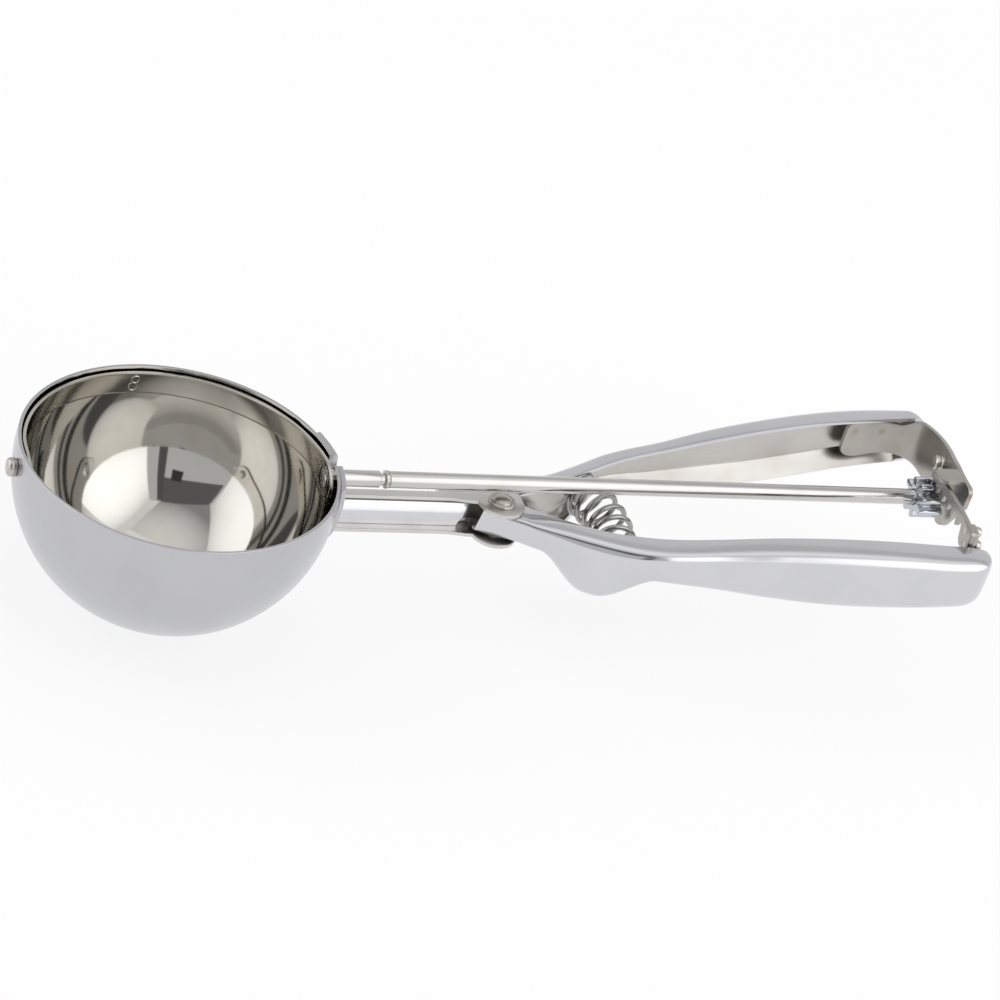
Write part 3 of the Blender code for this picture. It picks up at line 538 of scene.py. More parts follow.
def lathe(name: str, profile: Sequence[Station], start: Point, way: Point, segments: int = 48) -> Object:
    """Turns a solid about an axis, ring by ring, by extruding and scaling a disc.

    Args:
        name: The piece's name.
        profile: The (distance, radius) steps along the axis.
        start: The axis's zero point.
        way: The axis's direction.
        segments: How many sides the rings have.

    Returns:
        The closed solid.
    """
    along = Vector(way).normalized()
    first, radius = profile[0]
    bpy.ops.object.select_all(action="DESELECT")
    bpy.ops.mesh.primitive_circle_add(
        vertices=segments,
        radius=radius * MM,
        fill_type="NGON",
        location=place(Vector(start) + along * first),
        rotation=along.to_track_quat("Z", "Y").to_euler(),
    )
    made = take(name)
    with editing(made):
        for (here, radius), (there, wanted) in pairwise(profile):
            bpy.ops.mesh.extrude_region_move(TRANSFORM_OT_translate={"value": along * ((there - here) * MM)})
            middle = place(Vector(start) + along * there)
            bpy.ops.transform.resize(value=(wanted / radius,) * 3, center_override=middle)
        bpy.ops.mesh.select_all(action="SELECT")
        bpy.ops.mesh.normals_make_consistent(inside=False)
    return made


def block(low: Point, high: Point) -> Object:
    """Adds a square block between two corners, to cut or join.

    Args:
        low: Its lowest corner.
        high: Its highest corner.

    Returns:
        The block.
    """
    middle = [(a + b) / 2.0 for a, b in zip(low, high)]
    sides = [(b - a) * MM for a, b in zip(low, high)]
    bpy.ops.object.select_all(action="DESELECT")
    bpy.ops.mesh.primitive_cube_add(size=1.0, location=place(middle), scale=sides)
    return take("block")


def bore(piece: Object, radius: float, start: Point, way: Point, length: float = 0.0) -> None:
    """Drills a round hole right through a piece.

    Args:
        piece: The piece to drill.
        radius: The hole's radius.
        start: Where the hole starts.
        way: The drill's direction.
        length: How deep the hole is, apart from a thin wall.
    """
    combine(piece, lathe("drill", ((-DRILL, radius), (length + DRILL, radius)), start, way))


def soften(piece: Object, width: float, over: float = 40.0, segments: int = 2) -> None:
    """Breaks the sharp edges of a piece and shades it.

    Args:
        piece: The piece to finish.
        width: Width of the broken edge.
        over: Edges sharper than this many degrees are broken.
        segments: Steps across the broken edge.
    """
    limit = math.radians(over)
    shape(piece, "BEVEL", width=width * MM, segments=segments, limit_method="ANGLE", angle_limit=limit)
    shade(piece)


def shade(piece: Object, over: float = 38.0) -> None:
    """Shades a piece smooth, apart from edges sharper than so many degrees."""
    focus(piece)
    bpy.ops.object.shade_smooth_by_angle(angle=math.radians(over))


def coat(piece: Object, *finishes: Steel) -> None:
    """Gives a mesh its finishes, before a wall's thickness puts its inner side on the second one."""
    for finish in finishes:
        piece.data.materials.append(finish.material())


def dress(piece: Object, body: Body, slot: Slot, *nodes: str) -> None:
    """Sets a coated piece on its body and hides the CAD nodes that it stands for.

    Args:
        piece: The finished mesh.
        body: The body it rides on.
        slot: The record's slot. It is not used.
        *nodes: The CAD nodes that it replaces.
    """
    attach(piece, body.value)
    if nodes:
        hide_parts(*nodes)
    LOG.info("%s: %d faces, on %s", piece.name, len(piece.data.polygons), body.value)


def complete(piece: Object, steel: Steel, body: Body, slot: Slot, *nodes: str, over: float = 38.0) -> None:
    """Shades, coats and dresses a piece that has one finish.

    Args:
        piece: The finished mesh.
        steel: Its finish.
        body: The body it rides on.
        slot: The record's slot that it takes its finish from.
        *nodes: The CAD nodes that it replaces.
        over: Edges sharper than this many degrees stay sharp.
    """
    shade(piece, over)
    coat(piece, steel)
    dress(piece, body, slot, *nodes)


@dataclass
class Bowl:
    """The spun bowl and the saddle welded round it where the neck meets it."""

    radius: float = 37.0
    wall: float = 0.8
    rim_z: float = 4.95
    rim_round: float = 0.16
    pin_hole_r: float = 1.6
    slot_w: float = 4.2
    saddle_t: float = 1.0
    saddle_half_deg: float = 18.0
    saddle_low_z: float = -15.5
    saddle_below_rim: float = 0.25
    saddle_taper: float = 0.35
    saddle_taper_z: float = -6.0
    saddle_edge: float = 0.3

    def build(self) -> None:
        """Builds and dresses the bowl and its saddle."""
        self._bowl()
        self._saddle()

    def neck_start(self, y: float, z: float) -> float:
        """How far along the rod the neck meets the saddle."""
        reach = self.radius + GAP + self.saddle_t - SNUG
        return math.sqrt(reach * reach - y * y - z * z)

    def _bowl(self) -> None:
        """Cuts a sphere at the rim, gives it its wall and drills it for the blade's rod and pin."""
        bpy.ops.object.select_all(action="DESELECT")
        bpy.ops.mesh.primitive_uv_sphere_add(
            segments=192, ring_count=96, radius=self.radius * MM, location=BOWL_CENTRE
        )
        bowl = take("bowl_fine")
        with editing(bowl):
            bpy.ops.mesh.bisect(plane_co=place((0, 0, self.rim_z)), plane_no=(0, 0, 1), clear_outer=True)
        coat(bowl, SATIN_BOWL, MIRROR)
        shape(bowl, "SOLIDIFY", thickness=self.wall * MM, offset=-1.0, material_offset=1)
        soften(bowl, self.rim_round, over=60.0, segments=3)
        self._keyhole(bowl)
        bore(bowl, self.pin_hole_r, (-self.radius, 0, 0), (1, 0, 0))
        shade(bowl)
        dress(bowl, Body.FRAME, Slot.POLISHED, "bowl")

    def _keyhole(self, piece: Object) -> None:
        """Cuts the rod's hole through a wall, with a slot up to the rim to drop the rod in by.

        Args:
            piece: The bowl or its saddle.
        """
        bore(piece, ROD_R + GAP, (self.radius, 0, 0), (1, 0, 0))
        half = self.slot_w / 2.0
        low = (self.radius - DRILL, -half, ROD_R / 2.0)
        combine(piece, block(low, (self.radius + DRILL, half, self.rim_z + ROD_R)))

    def _saddle(self) -> None:
        """Wraps a patch round the bowl, narrower towards its lower end."""
        rows, columns = 40, 40
        radius = self.radius + SNUG
        grid = []
        for z in spread(self.rim_z - self.saddle_below_rim, self.saddle_low_z, rows):
            flat = math.sqrt(radius * radius - z * z)
            taper = self.saddle_taper * smooth(self.saddle_taper_z, self.saddle_low_z, z)
            half = math.radians(self.saddle_half_deg) * (1.0 - taper)
            turns = spread(-half, half, columns)
            grid.append([(flat * math.cos(turn), flat * math.sin(turn), z) for turn in turns])
        saddle = sheet("bowl_saddle_fine", grid, (1, 0, 0))
        shape(saddle, "SOLIDIFY", thickness=(self.saddle_t + GAP - SNUG) * MM, offset=1.0)
        soften(saddle, self.saddle_edge, over=60.0, segments=3)
        self._keyhole(saddle)
        complete(saddle, SATIN_BOWL, Body.FRAME, Slot.POLISHED, "bowl_saddle")


@dataclass
class BladeDrive:
    """The sweeping blade with its pin, and the rod, ring and gear that turn it."""

    bowl: Bowl
    radius: float = 35.7
    thick: float = 0.8
    top_z: float = 3.8
    low_z: float = -2.1
    edge: float = 0.15
    tail_deg: float = 11.0
    tail_round: float = 0.93
    hub_r: float = 4.4
    hub_deg: float = 9.0
    head_r: float = 2.6
    head_t: float = 0.4
    ring_x: float = 50.3
    ring_w: float = 1.1
    ring_bumps: int = 9
    ring_swell: float = 0.05
    groove: float = 0.6
    rod_end_x: float = 204.6
    pin_r: float = 1.3
    pin_head_r: float = 2.15
    pin_head_t: float = 2.0
    tooth_r: float = 0.88
    tooth_at: float = 4.37
    root_r: float = 2.95
    gear_from_x: float = 192.5
    gear_w: float = 6.8
    gear_edge: float = 0.32
    # Fillet at a tooth's root: its height, and where it starts and ends beside the tooth's middle.
    fillet: float = 0.5
    fillet_run: tuple[float, float] = (1.6, 1.0)
    numeral_deg: float = 94.9
    numeral_z: float = 0.85
    numeral_lean: float = -0.17
    numeral_line: float = 0.22
    # Radius of each ring of the numeral, and how far it lies above the numeral's middle.
    numeral_rings: tuple[Station, ...] = ((1.06, -1.02), (0.96, 0.92))

    def build(self) -> None:
        """Builds and dresses everything on the blade's body."""
        self._blade()
        self._numeral()
        self._rod()
        self._ring()
        self._pin()
        self._gear()

    def _seat(self, head_r: float) -> float:
        """How far from the bowl's centre a head lies against the blade's inner face."""
        inner = self.radius - self.thick
        return math.sqrt(inner * inner - head_r * head_r) - SNUG

    def _blade(self) -> None:
        """Bends a strip to the bowl, with a round hub on the axis at each end."""
        rows, columns = 200, 12
        grid = []
        for turn in spread(-self.tail_deg, 180.0 + self.tail_deg, rows):
            past = max(-turn, turn - 180.0, 0.0) / self.tail_deg
            hub = math.exp(-((min(abs(turn), abs(turn - 180.0)) / self.hub_deg) ** 2))
            shrink = math.sqrt(max(1.0 - (self.tail_round * past) ** 2, 0.0))
            high = (self.top_z + (self.hub_r - self.top_z) * hub) * shrink
            low = (self.low_z - (self.hub_r + self.low_z) * hub) * shrink
            line = []
            for z in spread(low, high, columns):
                flat = math.sqrt(self.radius * self.radius - z * z)
                line.append((flat * math.cos(math.radians(turn)), flat * math.sin(math.radians(turn)), z))
            grid.append(line)
        blade = sheet("sweeper_blade_fine", grid, (0, 1, 0))
        shape(blade, "SOLIDIFY", thickness=self.thick * MM, offset=-1.0)
        soften(blade, self.edge, over=50.0)
        bore(blade, ROD_R + SNUG, (self.radius, 0, 0), (1, 0, 0))
        bore(blade, self.pin_r + SNUG, (-self.radius, 0, 0), (1, 0, 0))
        complete(blade, BRIGHT_BLADE, Body.BLADE, Slot.POLISHED, "sweeper_blade")

    def _numeral(self) -> None:
        """Raises the plain portion numeral, two stamped rings, on the blade's inner face."""
        inner = self.radius - self.thick
        turn = math.radians(self.numeral_deg)
        rings = []
        for ring_r, above in self.numeral_rings:
            across = turn + self.numeral_lean * above / inner
            z = self.numeral_z + above
            flat = math.sqrt(inner * inner - z * z)
            spot = Vector((flat * math.cos(across), flat * math.sin(across), z))
            bpy.ops.object.select_all(action="DESELECT")
            bpy.ops.mesh.primitive_torus_add(
                major_radius=ring_r * MM,
                minor_radius=self.numeral_line * MM,
                major_segments=40,
                minor_segments=12,
                location=place(spot),
                rotation=spot.to_track_quat("Z", "Y").to_euler(),
            )
            rings.append(take("portion_numeral"))
        numeral, other = rings
        combine(numeral, other, "UNION")
        complete(numeral, BRIGHT_BLADE, Body.BLADE, Slot.POLISHED, over=60.0)

    def _rod(self) -> None:
        """Turns the long rod with its head inside the bowl and the groove of its ring."""
        seat = self._seat(self.head_r)
        half = self.ring_w / 2.0 + SNUG
        groove_r = ROD_R - self.groove
        profile = (
            (seat - self.head_t, 0.5),
            (seat - self.head_t, self.head_r - 0.8),
            (seat - 0.7 * self.head_t, self.head_r - 0.3),
            (seat - 0.3 * self.head_t, self.head_r),
            (seat, self.head_r),
            (seat, ROD_R),
            (self.ring_x - half - 1.3, ROD_R),
            (self.ring_x - half - 1.1, ROD_R - 0.15),
            (self.ring_x - half - 1.0, groove_r),
            (self.ring_x + half, groove_r),
            (self.ring_x + half, ROD_R - 0.1),
            (self.ring_x + half + 0.1, ROD_R),
            (self.rod_end_x - 0.4, ROD_R),
            (self.rod_end_x - 0.12, ROD_R - 0.12),
            (self.rod_end_x, ROD_R - 0.45),
        )
        rod = lathe("blade_rod_fine", profile, (0, 0, 0), (1, 0, 0), 64)
        complete(rod, DRAWN_ROD, Body.BLADE, Slot.POLISHED, "blade_rod")

    def _ring(self) -> None:
        """Crimps the retaining ring: a band with a scalloped rim, bored for the rod's groove."""
        half = self.ring_w / 2.0
        high = ROD_R + 0.08
        profile = ((-half, high - 0.25), (-half + 0.15, high), (half - 0.15, high), (half, high - 0.25))
        ring = lathe("rod_retaining_ring_fine", profile, (self.ring_x, 0, 0), (1, 0, 0), 72)
        axis = Vector((0.0, BOWL_CENTRE.y, BOWL_CENTRE.z))
        for corner in ring.data.vertices:
            out = corner.co - axis
            turn = math.atan2(out.z, out.y)
            swell = 1.0 + self.ring_swell * math.cos(self.ring_bumps * turn)
            corner.co = Vector((corner.co.x, axis.y + out.y * swell, axis.z + out.z * swell))
        bore(ring, ROD_R - self.groove + SNUG, (self.ring_x, 0, 0), (1, 0, 0))
        complete(ring, TUMBLED, Body.BLADE, Slot.SATIN, "rod_retaining_ring")

    def _pin(self) -> None:
        """Turns the headed pin that carries the blade's free end through the bowl's wall."""
        seat = self._seat(self.pin_head_r)
        out = self.bowl.radius + SNUG
        end = out + self.pin_head_t
        profile = (
            (seat - 0.95, self.pin_head_r - 1.2),
            (seat - 0.85, self.pin_head_r - 0.6),
            (seat - 0.55, self.pin_head_r - 0.1),
            (seat, self.pin_head_r),
            (seat, self.pin_r),
            (out, self.pin_r),
            (out, self.pin_head_r - 0.12),
            (out + 0.2, self.pin_head_r),
            (end - 0.7, self.pin_head_r),
            (end - 0.3, self.pin_head_r - 0.15),
            (end - 0.08, self.pin_head_r - 0.5),
            (end, self.pin_head_r - 1.0),
        )
        pin = lathe("blade_pivot_pin_fine", profile, (0, 0, 0), (-1, 0, 0), 40)
        complete(pin, TUMBLED, Body.BLADE, Slot.SATIN, "blade_pivot_pin")

    def _gear(self) -> None:
        """Shapes the gear: a disc whose rim runs over round-tipped teeth, extruded along the rod."""
        per_tooth = 28
        pitch = 2.0 * math.pi / GEAR_TEETH
        bpy.ops.object.select_all(action="DESELECT")
        bpy.ops.mesh.primitive_circle_add(
            vertices=GEAR_TEETH * per_tooth,
            radius=self.root_r * MM,
            fill_type="NGON",
            location=place((self.gear_from_x, 0, 0)),
            rotation=(0.0, math.pi / 2.0, 0.0),
        )
        gear = take("pinion_gear_fine")
        axis = Vector((0.0, BOWL_CENTRE.y, BOWL_CENTRE.z))
        for corner in gear.data.vertices:
            out = corner.co - axis
            turn = math.atan2(out.z, out.y)
            off = (turn - math.pi / 2.0) % pitch - pitch / 2.0
            side = self.tooth_at * math.sin(off)
            reach = self.root_r + self.fillet * smooth(*self.fillet_run, abs(side))
            if abs(side) < self.tooth_r:
                reach = self.tooth_at * math.cos(off) + math.sqrt(self.tooth_r**2 - side**2)
            corner.co.y = axis.y + reach * MM * math.cos(turn)
            corner.co.z = axis.z + reach * MM * math.sin(turn)
        with editing(gear):
            bpy.ops.mesh.extrude_region_move(TRANSFORM_OT_translate={"value": (self.gear_w * MM, 0.0, 0.0)})
            bpy.ops.mesh.select_all(action="SELECT")
            bpy.ops.mesh.normals_make_consistent(inside=False)
        bore(gear, ROD_R + SNUG, (self.gear_from_x, 0, 0), (1, 0, 0), self.gear_w)
        soften(gear, self.gear_edge, over=60.0, segments=3)
        complete(gear, NICKEL, Body.BLADE, Slot.GEAR, "pinion_gear")


@dataclass
class Neck:
    """The pressed channel from the bowl to the pivot, its rounded liner and the pivot's rivet."""

    bowl: Bowl
    top_z: float = -4.4
    low_z: float = -14.0
    far_y: float = 3.3
    top_edge_y: float = -0.5
    low_edge_y: float = -1.9
    corner: float = 1.8
    ear_r: float = 5.7
    ear_run: float = 7.4
    ear_flare: float = 0.9
    saddle_run: float = 5.0
    channel_edge: float = 0.22
    liner_t: float = 0.8
    liner_drop: float = 2.1
    liner_top_y: float = 1.9
    liner_out: float = 1.6
    liner_stop: float = 6.2
    liner_slant: float = 2.8
    liner_curve: float = 2.4
    liner_edge: float = 0.2
    rivet_r: float = 1.9
    rivet_head_r: float = 3.35
    rivet_head_t: float = 1.0

    def build(self) -> None:
        """Builds and dresses the channel, its liner and the rivet."""
        self._channel()
        self._liner()
        self._rivet()

    def _edge(self, x: float, straight: float) -> float:
        """The free edge of a flange at x: straight along the neck, round at the pivot.

        Args:
            x: Place along the rod.
            straight: Where the edge runs along the neck.

        Returns:
            The edge's place across the rod.
        """
        ear_x = PIVOT.x - self.ear_r
        flared = straight - self.ear_flare * smooth(ear_x - self.ear_run, ear_x, x)
        reach = self.ear_r**2 - (x - PIVOT.x) ** 2
        return min(PIVOT.y - math.sqrt(reach), flared) if reach > 0.0 else flared

    def _section(self, top_edge: float, low_edge: float) -> list[Station]:
        """The channel's outer section from its upper free edge round to its lower one.

        Args:
            top_edge: The upper flange's edge across the rod.
            low_edge: The lower flange's edge across the rod.

        Returns:
            The (y, z) points.
        """
        steps = 8
        y = self.far_y - self.corner
        found = [(top_edge + (y - top_edge) * step / steps, self.top_z) for step in range(steps)]
        for middle_z, start in ((self.top_z - self.corner, 90.0), (self.low_z + self.corner, 0.0)):
            for step in range(steps + 1):
                turn = math.radians(start - 90.0 * step / steps)
                found.append((y + self.corner * math.cos(turn), middle_z + self.corner * math.sin(turn)))
        found += [(y + (low_edge - y) * step / steps, self.low_z) for step in range(1, steps + 1)]
        return found

    def _channel(self) -> None:
        """Presses the channel with its two pivot ears."""
        ear_x = PIVOT.x - self.ear_r
        section = self._section(self.top_edge_y, self.low_edge_y)
        grid = [[(self.bowl.neck_start(y, z), y, z) for y, z in section]]
        stops = spread(self.bowl.radius + self.saddle_run, ear_x - GAP, 30)
        stops += [PIVOT.x - self.ear_r * math.cos(math.radians(turn)) for turn in range(5, 169, 4)]
        for x in stops:
            section = self._section(self._edge(x, self.top_edge_y), self._edge(x, self.low_edge_y))
            grid.append([(x, y, z) for y, z in section])
        channel = sheet("neck_channel_fine", grid, (0, 1, 0))
        shape(channel, "SOLIDIFY", thickness=SHEET * MM, offset=-1.0, use_even_offset=True)
        soften(channel, self.channel_edge, over=50.0, segments=3)
        self.rivet_hole(channel, SNUG)
        complete(channel, SATIN_NECK, Body.FRAME, Slot.SATIN, "neck_channel")

    def rivet_hole(self, piece: Object, clear: float) -> None:
        """Drills the pivot's hole through a piece, as much wider than the rivet as its fit needs."""
        bore(piece, self.rivet_r + clear, (PIVOT.x, PIVOT.y, self.low_z), (0, 0, 1), self.top_z - self.low_z)

    def _liner(self) -> None:
        """Presses the rounded wall inside the channel, cut off on a slant before the pivot."""
        high, low = self.top_z - SHEET - self.liner_drop, self.low_z + SHEET + SNUG
        section = []
        for level in spread(1.0, 0.0, 28):
            out = self.liner_out * (1.0 - level**self.liner_curve)
            section.append((self.liner_top_y - out, low + (high - low) * level))
        section.append((self.liner_top_y, low))
        columns = 24
        grid = []
        for column in range(columns + 1):
            line = []
            for y, z in section:
                first = self.bowl.neck_start(y, z)
                last = PIVOT.x - self.liner_stop - self.liner_slant * smooth(high, low, z)
                line.append((first + (last - first) * column / columns, y, z))
            grid.append(line)
        liner = sheet("neck_liner_fine", grid, (0, -1, 0))
        shape(liner, "SOLIDIFY", thickness=self.liner_t * MM, offset=-1.0, use_even_offset=True)
        soften(liner, self.liner_edge, over=50.0, segments=3)
        complete(liner, BRIGHT_HANDLE, Body.FRAME, Slot.POLISHED, "neck_liner")

    def _rivet(self) -> None:
        """Turns the pivot's rivet: a flange, a ring pressed into it and a domed middle at each end."""
        head = (
            (0.0, self.rivet_head_r - 0.1),
            (0.25, self.rivet_head_r),
            (0.5, self.rivet_head_r - 0.12),
            (0.62, self.rivet_head_r - 0.5),
            (0.5, self.rivet_head_r - 0.85),
            (0.5, self.rivet_head_r - 1.0),
            (0.78, self.rivet_head_r - 1.35),
            (0.93, self.rivet_head_r - 1.9),
            (1.0, self.rivet_head_r - 2.7),
            (1.0, 0.2),
        )
        top, low = self.top_z + SNUG, self.low_z - SNUG
        tall = self.rivet_head_t + GAP - SNUG
        profile = [(low - tall * step, radius) for step, radius in reversed(head)]
        profile += [(low, self.rivet_r), (top, self.rivet_r)]
        profile += [(top + tall * step, radius) for step, radius in head]
        rivet = lathe("pivot_rivet_fine", profile, (PIVOT.x, PIVOT.y, 0.0), (0, 0, 1), 56)
        complete(rivet, TUMBLED, Body.FRAME, Slot.SATIN, "pivot_rivet", over=30.0)


@dataclass
class Handle:
    """One formed sheet handle, open towards the rod and rounded at its end.

    Attributes:
        side: 1 for the fixed handle, -1 for the lever.
        front: How far before the pivot it starts.
        end_x: Where it ends along the rod.
        nose_lean: How far its front edge leans back at the top.
        open_foot: 1 where the lower half ends on a slope, 0 where it turns right in.
        squareness: Distance behind the pivot and how square the upper and lower halves are: 2 is an ellipse.
        plan: Distance behind the pivot, inner edges from the rod and depth of the channel.
        foot_open: Where behind the pivot the slope of an open foot begins and is full.
        foot_from: How far down the lower half its crease lies.
        foot_slope: How steeply it slopes in from there.
        foot_soft: How soft the crease is.
        foot_drop: How far the foot hangs down, as a share of the channel's depth.
        strip_in: How far inside the outer wall a strip lies, to clear the wall's rounded foot.
        guard_rise: Where the finger guard starts and is full, in half widths from its middle.
        guard_fall: Where it starts to end and has ended.
    """

    side: float
    front: float
    end_x: float
    nose_lean: float
    open_foot: float
    squareness: tuple[Station, ...]
    plan: tuple[Station, ...]
    end_round: float = 7.0
    end_sweep_deg: float = 78.0
    end_close: float = 0.22
    end_power: float = 0.7
    edge: float = 0.25
    foot_open: tuple[float, float] = (18.0, 34.0)
    foot_from: float = 0.56
    foot_slope: float = 1.5
    foot_soft: float = 0.08
    foot_drop: float = 0.26
    lean_run: float = 5.0
    strip_in: float = 2.6
    guard_at: float = 21.3
    guard_drop: float = 7.9
    guard_half: float = 12.0
    guard_rise: tuple[float, float] = (-1.03, -0.05)
    guard_fall: tuple[float, float] = (0.12, 1.15)
    rows: int = 56
    spacing: float = 1.0
    # Distance behind the pivot, top edge and bottom edge, without the finger guard.
    side_view: tuple[Station, ...] = (
        (-20.0, -5.4, -12.7), (4.0, -5.4, -12.7), (7.6, -5.5, -13.0), (20.0, -4.5, -13.0),
        (35.6, -2.9, -12.5), (49.6, -1.4, -13.3), (64.6, 1.0, -14.1), (79.6, 2.9, -14.0),
        (94.6, 4.1, -12.7), (109.6, 4.6, -10.8), (127.6, 5.1, -8.8),
    )

    def edges(self, x: float) -> tuple[float, float]:
        """Top and bottom of the handle at x, with the finger guard's drop.

        Args:
            x: Place along the rod.

        Returns:
            The top and the bottom.
        """
        behind = x - PIVOT.x
        top, bottom = on_curve(self.side_view, behind)
        past = (behind - self.guard_at) / self.guard_half
        drop = smooth(*self.guard_rise, past) * (1.0 - smooth(*self.guard_fall, past))
        return top, bottom - self.guard_drop * drop

    def web_line(self, x: float) -> float:
        """Where a strip lies inside the handle, across from the rod."""
        inner, depth = on_curve(self.plan, x - PIVOT.x)
        return self.side * (inner + depth - SHEET - STRIP_T / 2.0 - self.strip_in)

    def form(self, name: str) -> Object:
        """Forms the sheet: sections from the pivot to the rounded end, then its thickness.

        Args:
            name: The piece's name.

        Returns:
            The handle, with its inside on the second material.
        """
        straight_end = self.end_x - self.end_round
        start = PIVOT.x - self.front
        count = round((straight_end - start) / self.spacing)
        spots = [(x, 0.0) for x in spread(start, straight_end, count)[:-1]]
        for sweep in spread(0.0, math.radians(self.end_sweep_deg), 16):
            spots.append((straight_end + self.end_round * math.sin(sweep), sweep))
        grid = []
        for x, sweep in spots:
            inner, depth = on_curve(self.plan, x - PIVOT.x)
            top, bottom = self.edges(x)
            upper, lower = on_curve(self.squareness, x - PIVOT.x)
            opened = self.open_foot * smooth(*self.foot_open, x - PIVOT.x) * math.cos(sweep)
            depth *= math.cos(sweep) ** self.end_power
            half = (top - bottom) / 2.0 * (1.0 - self.end_close * (1.0 - math.cos(sweep)))
            line = []
            for row in range(self.rows + 1):
                turn = math.pi / 2.0 - math.pi * row / self.rows
                wide, tall = abs(math.cos(turn)), math.sin(turn)
                power = 2.0 / (upper if tall > 0.0 else lower)
                level, reach = abs(tall) ** power, wide**power
                z = (top + bottom) / 2.0 + half * math.copysign(level, tall)
                if tall < 0.0:
                    fold = max(level - self.foot_from, 0.0)
                    sloped = 1.0 - self.foot_slope * fold * fold / (fold + self.foot_soft)
                    reach += opened * (sloped - reach)
                    z -= opened * self.foot_drop * depth * level
                lean = self.nose_lean * (z - bottom) / (top - bottom)
                lean *= max(1.0 - (x - start) / self.lean_run, 0.0)
                line.append((x + lean, self.side * (inner + depth * reach), z))
            grid.append(line)
        handle = sheet(name, grid, (0, self.side, 0))
        coat(handle, BRIGHT_HANDLE, MILL_INSIDE)
        shape(handle, "SOLIDIFY", thickness=SHEET * MM, offset=-1.0, use_even_offset=True, material_offset=1)
        soften(handle, self.edge, over=50.0, segments=3)
        return handle


LEVER_SQUARENESS = ((-6.0, 9.0, 4.5), (1.0, 9.0, 4.5), (11.0, 5.4, 3.3), (30.0, 5.4, 3.0), (130.0, 5.4, 3.0))
FIXED_SQUARENESS = ((-20.0, 5.0, 5.0), (4.0, 5.0, 5.0), (12.0, 3.6, 3.0), (130.0, 3.6, 3.0))
GRIP_PLAN = (
    (64.6, 20.7, 7.4), (79.6, 23.0, 7.9), (94.6, 25.2, 8.1), (109.6, 27.1, 7.9), (127.6, 28.6, 6.2),
)
LEVER_PLAN = (
    (-5.8, -1.2, 4.0), (-3.2, -1.2, 5.7), (-0.4, -1.2, 7.2), (3.6, -0.6, 8.4), (7.6, 2.4, 7.6),
    (12.6, 6.0, 7.0), (18.4, 9.9, 6.9), (23.6, 12.8, 7.0), (28.9, 14.9, 7.2), (35.6, 16.8, 7.0),
    (41.6, 17.8, 6.8), (49.6, 18.6, 6.8),
) + GRIP_PLAN
FIXED_PLAN = (
    (-20.0, 3.6, 1.9), (2.6, 3.6, 2.1), (7.6, 3.9, 6.4), (12.6, 5.5, 6.8), (18.4, 7.7, 6.8),
    (23.6, 10.1, 6.4), (28.9, 12.4, 6.1), (35.6, 15.0, 5.8), (41.6, 16.8, 5.7), (49.6, 18.4, 5.9),
) + GRIP_PLAN


@dataclass
class Handles:
    """The fixed handle and the squeeze lever."""

    neck: Neck
    rack_x: float = 196.8
    lever_past_rack: float = 2.7
    fixed_past_rack: float = 11.2
    lever_nose: float = 5.8
    fixed_lap: float = 14.4

    def __post_init__(self) -> None:
        """Sets the two handles out from the rack."""
        end = self.rack_x + self.fixed_past_rack
        self.fixed = Handle(1.0, self.fixed_lap, end, 0.0, 1.0, FIXED_SQUARENESS, FIXED_PLAN, end_round=3.4)
        end = self.rack_x + self.lever_past_rack
        self.lever = Handle(-1.0, self.lever_nose, end, 1.3, 0.0, LEVER_SQUARENESS, LEVER_PLAN)

    def build(self) -> None:
        """Builds and dresses both handles."""
        fixed = self.fixed.form("fixed_handle_fine")
        dress(fixed, Body.FRAME, Slot.POLISHED, "fixed_handle")
        lever = self.lever.form("squeeze_lever_fine")
        self.neck.rivet_hole(lever, GAP)
        shade(lever)
        dress(lever, Body.LEVER, Slot.POLISHED, "squeeze_lever")


